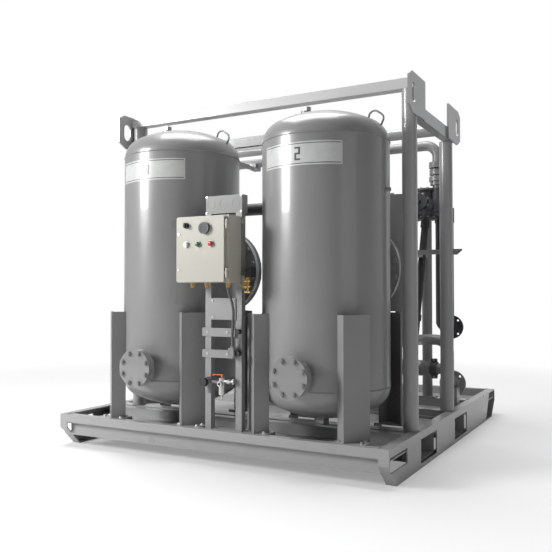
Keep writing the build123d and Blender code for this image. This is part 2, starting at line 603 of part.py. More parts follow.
    # Top pipe: union and reducer above the valve, elbow, the long run, and a turned-down end
    top = pipe_run([(TOP_PIPE_X, ry, VALVE_TOP), (TOP_PIPE_X, ry, TOP_PIPE_Z), (TOP_PIPE_LEFT, ry, TOP_PIPE_Z),
                    (TOP_PIPE_LEFT, ry, TOP_PIPE_Z - 200)], LINE_R, bend)
    for z, r, h in ((1850, 56, 26), (1884, 64, 36), (1935, 60, 40), (1990, 64, 44)):
        top = top + pipe("Z", (TOP_PIPE_X, ry, z), r, h, r - LINE_R)
    save("top_pipe", top)
    mute_z = TOP_PIPE_Z - 200
    mute = rod("Z", (TOP_PIPE_LEFT, ry, mute_z - 130), 62, 260)
    mute = mute - rod("Z", (TOP_PIPE_LEFT, ry, mute_z - 135), 54, 252)
    mute = mute - rod("Z", (TOP_PIPE_LEFT, ry, mute_z), LINE_R - PIPE_WALL, 30)
    save("exhaust_muffler", mute)

    # Upright silencer behind the right tower
    shell = rod("Z", (sx, sy, (s_low + s_top) / 2), s_r, s_top - s_low)
    core = rod("Z", (sx, sy, (s_low + s_top) / 2), s_r - 6, s_top - s_low - 12)
    shell = shell + rod("Z", (sx - 60, sy, s_top + 12), 14, 24)
    shell = shell - core
    shell = shell - rod("Z", (sx, sy, s_low), LINE_R - PIPE_WALL, 20)
    save("inlet_silencer", shell)

    # Bypass hose from the valve's lower flange to the inlet run
    hose_top = (rx + 20, ry - 92, RISER_TOP + 8)
    hose_low = (rx - 15, y_low, INLET_TURN_Z + LINE_R - 3)
    hose = pipe_run([hose_top, hose_low], 27, 0, 6)
    direction = Vector(*hose_low) - Vector(*hose_top)
    hose = hose - rod("X", (rx, y_low, INLET_TURN_Z), LINE_R, 300)
    hose = hose - rod("Z", (rx, ry, RISER_TOP + 9), 82.0, 18)
    cuffs = []
    for share in (0.06, 0.86):
        spot = Vector(*hose_top) + direction * share
        ring = Plane(origin=spot, z_dir=direction.normalized()) * Cylinder(34, 44)
        cuffs.append(ring)
    for ring in cuffs:
        hose = hose + (ring - Plane(origin=hose_top, z_dir=direction.normalized()) * Cylinder(26, 3000))
    save("bypass_hose", hose)

    # Couplings on the lower header
    places = (("X", (905.0, y_low, z_low), LINE_R), ("X", (945.0 + 4, y_low, z_low), LINE_R))
    rings = [grooved_coupling(*places[0])]
    rings.append(grooved_coupling("X", (150.0, y_low, z_low), HEADER_R))
    rings.append(grooved_coupling("X", (100.0, y_up, z_up), MAIN_R))
    save("grooved_couplings", *rings)

    # Brackets: arms for the top pipe, a bar with an arm for the riser, and stands for the low lines
    arms = []
    for x in (430.0, -760.0):
        web = make_face(Polyline((POST_REAR_Y, REAR_PIPE_Z + 12), (ry + 40, TOP_PIPE_Z - LINE_R),
                                 (ry + 40, TOP_PIPE_Z - LINE_R - 26), (POST_REAR_Y, REAR_PIPE_Z - 60), close=True))
        arm = Pos(x - 5, 0, 0) * extrude(Plane.YZ * web, 10)
        arm = arm + block(x - 30, x + 30, ry - 45, ry + 45, TOP_PIPE_Z - LINE_R - 26, TOP_PIPE_Z - 10)
        arm = arm - rod("X", (x, ry, TOP_PIPE_Z), LINE_R, 80)
        arms.append(arm - rod("X", (x, POST_REAR_Y, REAR_PIPE_Z), REAR_PIPE_R, 80))
    bar_y = POST_REAR_Y + POST_R - 15
    bar = block(rx - 20, POSTS_X["right"], bar_y, bar_y + 12, 1275, 1308)
    bar = bar + block(rx - 20, rx + 20, bar_y, ry - LINE_R + 6, 1275, 1308)
    stub_x = POSTS_X["right"]
    stub = make_face(Polyline((stub_x, 1275), (stub_x, 1308), (stub_x + 98, 1308), (stub_x + 98, 1298),
                              (stub_x + 62, 1268), close=True))
    bar = bar + extrude(Plane.XZ * stub, -12).moved(Location((0, bar_y, 0)))
    bar = bar - rod("Z", (POSTS_X["right"], POST_REAR_Y, 1290), POST_R, 100)
    bar = bar - rod("Z", (rx, ry, 1290), LINE_R, 100)
    hose_clear = Plane(origin=hose_top, z_dir=direction.normalized()) * Cylinder(29, 3000)
    arms.append(bar - hose_clear)
    save("pipe_brackets", *arms)
    stands = []
    stand_y = (POCKETS_Y[1][1] + 4, flange_at - 30)
    inlet_stand = block(INLET_X - 65, INLET_X + 60, *stand_y, DECK_TOP, 322)
    hollow = block(INLET_X - 57, INLET_X + 52, stand_y[0] + 8, stand_y[1] - 8, DECK_TOP - 1, 290)
    stands.append(inlet_stand - hollow - pipe_elbow)
    for x in (left, 300.0):
        post = pipe("Z", (x, y_low + 120, (DECK_TOP + z_low) / 2), 24, z_low - DECK_TOP, 5)
        post = post + block(x - 24, x + 24, y_low, y_low + 120, z_low - HEADER_R - 20, z_low - HEADER_R + 4)
        post = post - rod("X", (x, y_low, z_low), HEADER_R, 200)
        stands.append(post)
    save("pipe_stands", *stands)


# Panel

def build_panel():
    """Struts, enclosure with its door, controls, cable and the small valves."""
    back_y = STRUT_FRONT_Y
    struts = []
    for x in STRUTS_X:
        strut = block(x - STRUT / 2, x + STRUT / 2, back_y, back_y + STRUT, SKID_H, STRUT_TOP)
        slot = block(x - STRUT / 2 + 3, x + STRUT / 2 - 3, back_y + 3, back_y + STRUT + 1, SKID_H - 1, STRUT_TOP + 1)
        struts.append(strut - slot)
    save("panel_struts", *struts)
    rails = []
    for z0, z1 in ((752, 802), (629, 675)):
        rail = block(-17, 206, back_y - 8, back_y, z0, z1)
        rail = rail + block(-23, -17, back_y - 8, back_y + 30, z0, z1)
        rail = rail + block(192, 206, back_y - 14, back_y - 8, z0, z1)
        rails.append(rail)
    rails.append(block(34, 206, back_y - 6, back_y, 851, 977))
    save("panel_rails", *rails)
    knobs = []
    for z in (784, 660):
        knob = rod("Y", (234, back_y - 20, z), 15, 28)
        knob = knob + rod("Y", (234, back_y - 3, z), 6, 6)
        knobs.append(knob)
    save("clamp_knobs", *knobs)

    # Enclosure body, open to the front, with side ears at the back
    x0, x1 = BOX_X
    z0, z1 = BOX_Z
    body = block(x0, x1, BOX_FRONT_Y, back_y, z0, z1)
    body = body - block(x0 + SHEET, x1 - SHEET, BOX_FRONT_Y + SHEET, back_y - SHEET, z0 + SHEET, z1 - SHEET)
    body = body - block(*MOUTH_X, BOX_FRONT_Y - 1, BOX_FRONT_Y + SHEET + 1, *MOUTH_Z)
    for z in (z0 + 25, z1 - 25):
        for ex0, ex1 in ((x0 - 24, x0), (x1, x1 + 24)):
            ear = block(ex0, ex1, back_y - SHEET, back_y, z - 15, z + 15)
            body = body + (ear - rod("Y", ((ex0 + ex1) / 2, back_y - 1, z), 4, 6))
    for gx, gy in GLANDS:
        body = body - rod("Z", (gx, gy, z0), GLAND_HOLE_R, 10)
    hx, hy = HINGE
    for z in HINGE_ZS:
        for low, high in ((z - 26, z - 9.2), (z + 9.2, z + 26)):
            mid = (low + high) / 2
            bracket = block(hx - 2, x1, hy, BOX_FRONT_Y, low, high)
            knuckle = rod("Z", (hx, hy, mid), HINGE_KNUCKLE_R, high - low)
            body = body + bracket + knuckle
            body = body - rod("Z", (hx, hy, mid), HINGE_PIN_R, high - low + 1)
    save("enclosure_body", body)
    save("hinge_pins", *[rod("Z", (hx, hy, z), HINGE_PIN_R, 56) for z in HINGE_ZS])

    # Door: a pressed tray with a knuckle at each hinge, holes for the controls
    dx0, dx1 = DOOR_X
    dz0, dz1 = DOOR_Z
    door = block(dx0, dx1, DOOR_FACE_Y, DOOR_FACE_Y + DOOR_DEPTH, dz0, dz1)
    door = fillet(door.edges().filter_by(Axis.Y), DOOR_CORNER)
    tray = block(dx0 + SHEET, dx1 - SHEET, DOOR_FACE_Y + SHEET, DOOR_FACE_Y + DOOR_DEPTH + 1,
                 dz0 + SHEET, dz1 - SHEET)
    door = door - fillet(tray.edges().filter_by(Axis.Y), DOOR_CORNER - SHEET)
    for z in HINGE_ZS:
        door = door + block(dx1 - 1, hx, hy - 2, hy + 2, z - 9, z + 9)
        door = door + rod("Z", (hx, hy, z), HINGE_KNUCKLE_R, 18)
        door = door - rod("Z", (hx, hy, z), HINGE_PIN_R + RUN_GAP, 20)
    kx, kz = KNOB
    face_mid = DOOR_FACE_Y + SHEET / 2
    door = door - rod("Y", (kx, face_mid, kz), 11, 6)
    for lx, lz in LIGHTS:
        door = door - rod("Y", (lx, face_mid, lz), 11, 6)
    bx, bz, b_r = SOUNDER
    door = door - rod("Y", (bx, face_mid, bz), 14, 6)
    save("enclosure_door", door)

    bezel = rod("Y", (kx, DOOR_FACE_Y - 3, kz), 17, 6) + rod("Y", (kx, DOOR_FACE_Y + 12, kz), 11, 24)
    bezel = bezel - rod("Y", (kx, DOOR_FACE_Y, kz), 5 + RUN_GAP, 60)
    save("knob_bezel", bezel)
    handle = rod("Y", (kx, DOOR_FACE_Y - 13, kz), 14, 13.4)
    handle = handle + block(kx - 4, kx + 4, KNOB_FRONT_Y, DOOR_FACE_Y - 19, kz - 15, kz + 15)
    handle = handle + rod("Y", (kx, DOOR_FACE_Y + 2, kz), 5, 26)
    save("selector_knob", handle)

    lights = []
    for lx, lz in LIGHTS:
        lens = rod("Y", (lx, DOOR_FACE_Y - 5, lz), 16, 10) + rod("Y", (lx, DOOR_FACE_Y - 12, lz), 12, 5)
        lights.append(lens + rod("Y", (lx, DOOR_FACE_Y + 15, lz), 11, 30))
    save("pilot_lights", *lights)
    sounder = rod("Y", (bx, DOOR_FACE_Y - 9, bz), b_r, 18) + rod("Y", (bx, DOOR_FACE_Y + 15, bz), 14, 30)
    for i in range(5):
        drop = -20 + 10 * i
        sounder = sounder - block(bx - 24, bx + 24, DOOR_FACE_Y - 19, DOOR_FACE_Y - 14, bz + drop - 2, bz + drop + 2)
    save("alarm_sounder", sounder)

    # Inside the enclosure
    plate = block(x0 + 20, x1 - 20, back_y - 14, back_y - 11, z0 + 20, z1 - 20)
    for px in (x0 + 40, x1 - 40):
        for pz in (z0 + 40, z1 - 40):
            plate = plate + rod("Y", (px, back_y - 6.5, pz), 5, 9)
    save("back_plate", plate)
    controller = block(x0 + 40, x1 - 120, back_y - 84, back_y - 14, 1230, 1330)
    relays = [block(x0 + 50 + 34 * i, x0 + 76 + 34 * i, back_y - 80, back_y - 14, 1130, 1200) for i in range(4)]
    save("controller_and_relays", controller, *relays)

    # Pull box above the enclosure
    px0, px1, deep, tall = PULL_BOX
    pz0, pz1 = STRUT_TOP, STRUT_TOP + tall
    box = block(px0, px1, back_y, back_y + deep, pz0, pz1)
    box = box - block(px0 + SHEET, px1 - SHEET, back_y + SHEET, back_y + deep - SHEET, pz0 + SHEET, pz1 - SHEET)
    for ring_x in (36.0, 121.0, 206.0):
        box = box - (rod("Y", (ring_x, back_y, 1528), 28, 1.6) - rod("Y", (ring_x, back_y, 1528), 25, 3))

    # Glands under the enclosure, the brass row and the signal cable to the outlet box
    fittings = []
    for gx, gy in GLANDS:
        gland = hexagon("Z", (gx, gy, z0 - 8), 17, 16) + rod("Z", (gx, gy, z0 - 22), 12, 13)
        gland = gland + rod("Z", (gx, gy, z0 + 7), GLAND_HOLE_R - 0.5, 14)
        fittings.append(gland - rod("Z", (gx, gy, z0 - 10), CABLE_R, 60))
    save("cable_glands", *fittings)
    gx, gy = GLANDS[1]
    points = [(gx, gy, z0 - 28), (gx, gy, z0 - 52), (gx + 10, gy + 22, z0 - 104), (gx + 15, gy + 34, z0 - 166),
              (gx + 10, gy + 36, z0 - 236), (gx + 2, gy + 41, z0 - 300), (gx, 7, 728), (gx, 7, 702)]
    radii = []
    for a, b, c in zip(points, points[1:], points[2:]):
        one, two = Vector(*b) - Vector(*a), Vector(*c) - Vector(*b)
        turn = math.radians(one.get_angle(two))
        radii.append(0.45 * min(one.length, two.length) / math.tan(turn / 2))
    path = FilletPolyline(*points, radius=radii)
    save("signal_cable", sweep(Plane(origin=path @ 0, z_dir=path % 0) * Circle(CABLE_R), path=path))
    outlet = block(gx - 18, gx + 18, -12, back_y - 14, 640, 692)
    outlet = outlet + rod("Z", (gx, 7, 697), 13, 10)
    outlet = outlet + rod("Z", (gx, 5, 634), 7, 12)
    outlet = outlet - block(gx - 13, gx + 13, -13, -10, 652, 680)
    save("junction_boxes", box, outlet)

    # Regulator with its knob, and the ball valve with its lever
    reg_x, reg_z = REGULATOR
    body = rod("Y", (reg_x, 14, reg_z), 27, 42)
    body = body + rod("Z", (reg_x + 22, 14, reg_z - 36), 17, 60)
    body = body + rod("X", (reg_x + 54, 14, reg_z), 9, 64)
    body = body - rod("Y", (reg_x, -10, reg_z), 6 + RUN_GAP, 24)
    body = body - rod("Z", (LEVER_VALVE[0], 14, LEVER_VALVE[1]), 19, 120)
    save("regulator_body", body)
    turn_knob = rod("Y", (reg_x, -19.5, reg_z), 24, 24) + rod("Y", (reg_x, -6, reg_z), 6, 15)
    for i in range(12):
        turn = 2 * math.pi * i / 12
        spot = (reg_x + 25 * math.cos(turn), -19.5, reg_z + 25 * math.sin(turn))
        turn_knob = turn_knob - rod("Y", spot, 2.5, 30)
    save("regulator_knob", turn_knob)
    vx, vz = LEVER_VALVE
    valve = rod("Z", (vx, 14, vz - 20), 19, 96) + rod("Y", (vx, -8, vz - 4), 16, 14)
    valve = valve - rod("Y", (vx, -12, vz - 4), 9, 20)
    valve = valve + rod("Z", (vx, 14, vz - 78), 7, 24)
    valve = valve + rod("X", (vx + 48, 14, vz + 10), 9, 62) + hexagon("X", (vx + 50, 14, vz + 10), 16, 22)
    valve = valve + block(vx + 76, vx + 82, 6, back_y, vz - 6, vz + 26)
    valve = valve - rod("Z", (vx, 14, vz + 20), 6 + RUN_GAP, 40)
    save("drain_valve", valve)
    lever = rod("Z", (vx, 14, vz + 24), 6, 46) + block(vx - 60, vx + 10, 8, 20, vz + 44, vz + 48)
    lever = lever + block(vx - 60, vx - 54, 8, 20, vz + 38, vz + 48)
    save("drain_lever", lever)

    # Solenoid valves and tees beside the enclosure
    coil_x = x1 + 24 + 40
    coil = block(coil_x - 18, coil_x + 22, 4, back_y + 20, 1096, 1150)
    coil = coil + rod("Z", (coil_x - 8, 18, 1060), 9, 100)
    for z in (1012, 1044, 1076):
        coil = coil + rod("X", (coil_x - 8, 18, z), 8, 38)
    coil = coil + block(x1 + 5, coil_x - 10, back_y, back_y + 6, 1030, 1090)
    save("solenoid_valves", coil)


os.makedirs("parts", exist_ok=True)
build_skid()
build_frame()
build_towers()
build_pipework()
build_panel()
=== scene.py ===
"""Dresses the skid-mounted twin-tower air dryer: finishes, welds, screws, labels and small trim."""

from __future__ import annotations

import json
import logging
import math
from dataclasses import dataclass, field
from enum import Enum
from typing import Any, Callable, Sequence

import bpy
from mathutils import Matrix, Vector

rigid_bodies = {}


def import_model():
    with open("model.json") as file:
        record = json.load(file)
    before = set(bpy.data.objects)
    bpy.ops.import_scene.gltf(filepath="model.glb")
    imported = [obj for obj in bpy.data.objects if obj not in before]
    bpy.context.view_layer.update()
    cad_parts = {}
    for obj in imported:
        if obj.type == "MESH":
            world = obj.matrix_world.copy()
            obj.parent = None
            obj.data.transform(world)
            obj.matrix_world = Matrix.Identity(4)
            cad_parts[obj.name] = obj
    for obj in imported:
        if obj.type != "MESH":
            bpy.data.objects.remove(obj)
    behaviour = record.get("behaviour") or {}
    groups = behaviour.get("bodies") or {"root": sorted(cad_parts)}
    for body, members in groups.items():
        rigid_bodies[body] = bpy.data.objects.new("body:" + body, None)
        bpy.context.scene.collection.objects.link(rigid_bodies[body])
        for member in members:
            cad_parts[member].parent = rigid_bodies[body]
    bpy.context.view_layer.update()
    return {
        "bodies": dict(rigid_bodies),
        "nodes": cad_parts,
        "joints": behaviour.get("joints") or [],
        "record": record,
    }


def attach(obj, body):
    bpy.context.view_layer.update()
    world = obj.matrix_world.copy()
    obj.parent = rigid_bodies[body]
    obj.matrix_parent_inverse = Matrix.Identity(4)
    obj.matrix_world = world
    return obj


log = logging.getLogger("dryer")

MIDDLE_Y = 1226.0
TOWER_XS = (-450.0, 604.0)
TOWER_Y = 410.0
SHELL_R = 381.0


def spot(x: float, y: float, z: float) -> Vector:
    """Turn millimetres on the skid into metres in the shared frame.

    Args:
        x: distance right of the skid's centre line.
        y: distance back from the skid's front edge.
        z: height above the floor.

    Returns:
        The point in metres.
    """
    return Vector((x / 1000.0, (y - MIDDLE_Y) / 1000.0, z / 1000.0))


class Body(str, Enum):
    """The moving groups of the dryer."""

    SKID = "skid"
    DOOR = "door"
    SELECTOR = "selector"
    LEVER = "lever"
    DIAL = "regulator_dial"


# Shader maths


class Wire:
    """A shader value that adds its own Math nodes when it is used in an expression."""

    def __init__(self, sheet: "Sheet", socket: Any) -> None:
        """Keep the sheet and the socket that the value comes from."""
        self.sheet = sheet
        self.socket = socket

    def _math(self, operation: str, first: Any, second: Any = 0.0) -> "Wire":
        """Add one Math node.

        Args:
            operation: the node's operation.
            first: the first value or wire.
            second: the second value or wire.

        Returns:
            The node's result.
        """
        return self.sheet.add("ShaderNodeMath", {"operation": operation}, {0: first, 1: second})

    def __add__(self, other: Any) -> "Wire":
        """Sum."""
        return self._math("ADD", self, other)

    __radd__ = __add__

    def __sub__(self, other: Any) -> "Wire":
        """Difference."""
        return self._math("SUBTRACT", self, other)

    def __rsub__(self, other: Any) -> "Wire":
        """Difference, turned round."""
        return self._math("SUBTRACT", other, self)

    def __mul__(self, other: Any) -> "Wire":
        """Product."""
        return self._math("MULTIPLY", self, other)

    __rmul__ = __mul__

    def __truediv__(self, other: Any) -> "Wire":
        """Quotient."""
        return self._math("DIVIDE", self, other)

    def clipped(self) -> "Wire":
        """The value kept between nought and one."""
        return self._math("MINIMUM", self._math("MAXIMUM", self, 0.0), 1.0)


class Sheet:
    """One material's node tree, with a principled shader ready."""

    def __init__(self, name: str, rough: float, metallic: float = 0.0, coat: float = 0.0) -> None:
        """Start a material.

        Args:
            name: the material's name.
            rough: roughness that the shader starts from.
            metallic: metalness of the surface.
            coat: weight of a clear coat.
        """
        self.material = bpy.data.materials.new(name)
        self.material.use_nodes = True
        self.tree = self.material.node_tree
        self.shader = self.tree.nodes["Principled BSDF"]
        self.shader.inputs["Roughness"].default_value = rough
        self.shader.inputs["Metallic"].default_value = metallic
        self.shader.inputs["Coat Weight"].default_value = coat

    def add(self, kind: str, settings: dict[str, Any] | None = None, inputs: dict[Any, Any] | None = None,
            out: Any = 0) -> Wire:
        """Add any node.

        Args:
            kind: the node's type.
            settings: attributes of the node, set first; "stops" sets a ramp's stops.
            inputs: values or wires by socket.
            out: the output socket wanted.

        Returns:
            The chosen output as a wire.
        """
        node = self.tree.nodes.new(kind)
        for key, value in (settings or {}).items():
            if key == "stops":
                self._ramp(node, value)
            else:
                setattr(node, key, value)
        for key, value in (inputs or {}).items():
            self.join(value, node.inputs[key])
        return Wire(self, node.outputs[out])

    @staticmethod
    def _ramp(node: Any, stops: Sequence[tuple[float, tuple[float, float, float]]]) -> None:
        """Set the stops of a colour ramp.

        Args:
            node: the ramp.
            stops: place and colour of each stop.
        """
        ramp = node.color_ramp
        while len(ramp.elements) < len(stops):
            ramp.elements.new(0.5)
        for element, (place, colour) in zip(ramp.elements, stops):
            element.position = place
            element.color = (*colour, 1.0)

    def join(self, value: Any, socket: Any) -> None:
        """Feed a wire, a number or a colour to a socket.

        Args:
            value: what to feed.
            socket: where it goes.
        """
        if isinstance(value, Wire):
            self.tree.links.new(value.socket, socket)
        elif isinstance(value, tuple) and len(value) == 3 and socket.type == "RGBA":
            socket.default_value = (*value, 1.0)
        else:
            socket.default_value = value

    def place(self) -> Wire:
        """Object coordinates."""
        return self.add("ShaderNodeTexCoord", out="Object")

    def noise(self, scale: float, detail: float = 4.0,
              stretch: tuple[float, float, float] = (1, 1, 1)) -> Wire:
        """Noise over the surface.

        Args:
            scale: fineness in cells a metre.
            detail: number of octaves.
            stretch: factor along each axis.

        Returns:
            The noise, about 0.5 in the mean.
        """
        moved = self.add("ShaderNodeMapping", {}, {"Vector": self.place(), "Scale": stretch})
        return self.add("ShaderNodeTexNoise", {}, {"Vector": moved, "Scale": scale, "Detail": detail})

    def height(self) -> Wire:
        """Height above the floor in metres."""
        return self.add("ShaderNodeSeparateXYZ", {}, {0: self.place()}, out="Z")

    def upward(self) -> Wire:
        """How far a surface faces up, from -1 to 1."""
        normal = self.add("ShaderNodeNewGeometry", out="Normal")
        return self.add("ShaderNodeSeparateXYZ", {}, {0: normal}, out="Z")

    def mix(self, factor: Any, low: Any, high: Any) -> Wire:
        """Blend two colours.

        Args:
            factor: nought gives the first colour and one the second.
            low: the first colour.
            high: the second colour.

        Returns:
            The blended colour.
        """
        node = self.tree.nodes.new("ShaderNodeMix")
        node.data_type = "RGBA"
        self.join(factor, node.inputs[0])
        self.join(low, node.inputs[6])
        self.join(high, node.inputs[7])
        return Wire(self, node.outputs[2])

    def bump(self, height: Wire, strength: float, distance: float = 0.001) -> None:
        """Raise the surface by a height.

        Args:
            height: the height pattern.
            strength: strength of the effect.
            distance: depth in metres.
        """
        raised = self.add("ShaderNodeBump", {},
                          {"Strength": strength, "Distance": distance, "Height": height})
        self.join(raised, self.shader.inputs["Normal"])

    def colour(self, value: Any) -> None:
        """Feed the base colour."""
        self.join(value, self.shader.inputs["Base Color"])

    def rough(self, value: Any) -> None:
        """Feed the roughness."""
        self.join(value, self.shader.inputs["Roughness"])


Colour = tuple[float, float, float]


def shade(colour: Colour, factor: float) -> Colour:
    """A colour made darker or lighter.

    Args:
        colour: the colour.
        factor: what each channel is multiplied by.

    Returns:
        The new colour, kept under one.
    """
    return tuple(min(1.0, c * factor) for c in colour)


@dataclass(frozen=True)
class Paint:
    """Sprayed paint on steel: slight orange peel, cloudy tone and dust where it faces up."""

    name: str
    colour: Colour
    rough: float = 0.38
    metallic: float = 0.0
    peel: float = 0.06
    dust: float = 0.12
    grime: float = 0.18
    coat: float = 0.0

    def make(self) -> Any:
        """Build the material.

        Returns:
            The material.
        """
        sheet = Sheet(self.name, self.rough, self.metallic, self.coat)
        cloud = sheet.noise(2.2, 3.0)
        streak = sheet.noise(9.0, 5.0, (1.0, 1.0, 0.12))
        speck = sheet.noise(160.0, 2.0)
        base = sheet.mix(cloud, shade(self.colour, 0.93), shade(self.colour, 1.07))
        runs = ((streak - 0.56) * 3.0).clipped() * self.grime
        worn = sheet.mix(runs, base, shade(self.colour, 0.55))
        flat = ((sheet.upward() - 0.6) * 2.5).clipped()
        dusty = sheet.mix(flat * cloud * self.dust, worn, (0.72, 0.70, 0.66))
        low = ((0.22 - sheet.height()) * 3.0).clipped() * speck * self.grime
        sheet.colour(sheet.mix(low, dusty, shade(self.colour, 0.45)))
        sheet.rough((cloud - 0.5) * 0.16 + runs * 0.3 + flat * 0.08 + self.rough)
        sheet.bump(sheet.noise(420.0, 2.0) * 0.6 + speck * 0.4, self.peel)
        return sheet.material


@dataclass(frozen=True)
class Galvanised:
    """Zinc on steel, with its spangle."""

    name: str
    colour: Colour
    rough: float = 0.5
    metallic: float = 0.3

    def make(self) -> Any:
        """Build the material.

        Returns:
            The material.
        """
        sheet = Sheet(self.name, self.rough, self.metallic)
        grains = sheet.add("ShaderNodeTexVoronoi", {}, {"Vector": sheet.place(), "Scale": 130.0}, out="Color")
        tone = sheet.add("ShaderNodeSeparateColor", {}, {0: grains})
        cloud = sheet.noise(14.0)
        sheet.colour(sheet.mix(tone * 0.4 + cloud * 0.6, shade(self.colour, 0.92), shade(self.colour, 1.06)))
        sheet.rough(tone * 0.14 + (cloud - 0.5) * 0.1 + (self.rough - 0.07))
        sheet.bump(tone, 0.03)
        return sheet.material


@dataclass(frozen=True)
class Cast:
    """A sand-cast surface under thin paint."""

    name: str
    colour: Colour
    rough: float = 0.55

    def make(self) -> Any:
        """Build the material.

        Returns:
            The material.
        """
        sheet = Sheet(self.name, self.rough, 0.2)
        sand = sheet.noise(260.0, 3.0)
        cloud = sheet.noise(8.0)
        sheet.colour(sheet.mix(sand * 0.5 + cloud * 0.5, shade(self.colour, 0.7), shade(self.colour, 1.35)))
        sheet.rough(sand * 0.2 + (self.rough - 0.1))
        sheet.bump(sand, 0.35)
        return sheet.material


@dataclass(frozen=True)
class Turned:
    """Bare or plated metal with fine tool marks and a little tarnish."""

    name: str
    colour: Colour
    rough: float = 0.28
    tarnish: float = 0.35

    def make(self) -> Any:
        """Build the material.

        Returns:
            The material.
        """
        sheet = Sheet(self.name, self.rough, 0.95)
        lines = sheet.noise(300.0, 2.0, (1.0, 1.0, 0.08))
        stain = sheet.noise(26.0, 5.0)
        dull = ((stain - 0.48) * 2.4).clipped() * self.tarnish
        sheet.colour(sheet.mix(dull, self.colour, shade(self.colour, 0.4)))
        sheet.rough(lines * 0.1 + stain * 0.18 + (self.rough - 0.12))
        sheet.bump(lines, 0.05)
        return sheet.material


@dataclass(frozen=True)
class Moulded:
    """Moulded plastic or rubber with a fine grain."""

    name: str
    colour: Colour
    rough: float = 0.5
    grain: float = 0.12
    ribs: float = 0.0
    glow: float = 0.0

    def make(self) -> Any:
        """Build the material.

        Returns:
            The material.
        """
        sheet = Sheet(self.name, self.rough)
        fine = sheet.noise(520.0, 2.0)
        cloud = sheet.noise(18.0)
        sheet.colour(sheet.mix(cloud, shade(self.colour, 0.86), shade(self.colour, 1.1)))
        sheet.rough((fine - 0.5) * 0.16 + (cloud - 0.5) * 0.12 + self.rough)
        height = fine
        if self.ribs:
            wave = sheet.add("ShaderNodeTexWave", {"bands_direction": "Z"},
                             {"Vector": sheet.place(), "Scale": self.ribs})
            height = wave * 0.9 + fine * 0.1
        sheet.bump(height, self.grain)
        if self.glow:
            sheet.shader.inputs["Emission Color"].default_value = (*self.colour, 1.0)
            sheet.shader.inputs["Emission Strength"].default_value = self.glow
        return sheet.material


@dataclass(frozen=True)
class Beads:
    """Packed desiccant beads."""

    name: str
    colour: Colour

    def make(self) -> Any:
        """Build the material.

        Returns:
            The material.
        """
        sheet = Sheet(self.name, 0.8)
        cell = sheet.add("ShaderNodeTexVoronoi", {}, {"Vector": sheet.place(), "Scale": 220.0},
                         out="Distance")
        # Darker towards the rim of each bead: painted shade between the packed beads.
        sheet.colour(sheet.mix((cell * 1.4).clipped(), self.colour, shade(self.colour, 0.45)))
        sheet.bump(1.0 - cell, 0.8, 0.003)
        return sheet.material


FINISHES = {
    "skid": Paint("skid_paint", (0.29, 0.293, 0.29), 0.30, coat=0.3),
    # The front top beam's paint is lighter than the same grey on the rest of the skid: a painted highlight
    # for the glossy light on its front face.
    "beam_highlight": Paint("beam_paint_painted_highlight", (0.50, 0.503, 0.50), 0.32, coat=0.3),
    "vessel": Paint("vessel_paint", (0.225, 0.226, 0.226), 0.30, peel=0.05, grime=0.10, coat=0.25),
    "leg": Paint("leg_paint_and_box_shade", (0.22, 0.222, 0.22), 0.40),
    "pipe": Paint("pipe_paint", (0.22, 0.222, 0.222), 0.34),
    "panel": Paint("panel_paint", (0.43, 0.42, 0.365), 0.36, peel=0.10, grime=0.06, dust=0.04),
    "dark": Paint("dark_paint", (0.045, 0.047, 0.05), 0.42, peel=0.10),
    "weld": Paint("weld_paint", (0.22, 0.222, 0.22), 0.46, peel=0.2),
    "zinc": Galvanised("zinc_sheet", (0.25, 0.253, 0.25)),
    "plated": Turned("plated_steel", (0.55, 0.55, 0.54), 0.34),
    "cast": Cast("cast_iron_paint", (0.07, 0.072, 0.075)),
    "brass": Turned("brass_fitting", (0.62, 0.43, 0.18), 0.30, 0.5),
    "black": Moulded("black_plastic", (0.022, 0.022, 0.024), 0.46),
    "grey": Moulded("grey_plastic", (0.17, 0.18, 0.19), 0.52),
    "sounder": Moulded("sounder_plastic", (0.085, 0.09, 0.10), 0.5),
    "orange": Moulded("orange_sleeve", (0.72, 0.18, 0.03), 0.38, 0.05),
    "hose": Moulded("hose_rubber", (0.03, 0.03, 0.032), 0.6, 0.5, ribs=160.0),
    "cable": Moulded("cable_sheath", (0.09, 0.095, 0.10), 0.5, 0.4, ribs=260.0),
    "gasket": Moulded("gasket_sheet", (0.10, 0.13, 0.10), 0.75),
    "sticker": Moulded("label_film", (0.50, 0.51, 0.50), 0.30, 0.01),
    "ink": Moulded("label_ink", (0.05, 0.055, 0.06), 0.35, 0.01),
    "lamp_white": Moulded("lens_white", (0.80, 0.80, 0.76), 0.18, 0.02, glow=0.08),
    "lamp_green": Moulded("lens_green", (0.04, 0.15, 0.07), 0.16, 0.02, glow=0.08),
    "lamp_red": Moulded("lens_red", (0.45, 0.04, 0.05), 0.16, 0.02, glow=0.08),
    "bead": Beads("desiccant_bead", (0.80, 0.78, 0.72)),
    "media": Moulded("filter_media", (0.78, 0.76, 0.68), 0.85, 0.6, ribs=90.0),
}


class Paints:
    """Makes each finish once and hands it out by name."""

    def __init__(self) -> None:
        """Start with nothing made."""
        self.made: dict[str, Any] = {}

    def __getitem__(self, key: str) -> Any:
        """The material of one finish."""
        if key not in self.made:
            self.made[key] = FINISHES[key].make()
        return self.made[key]


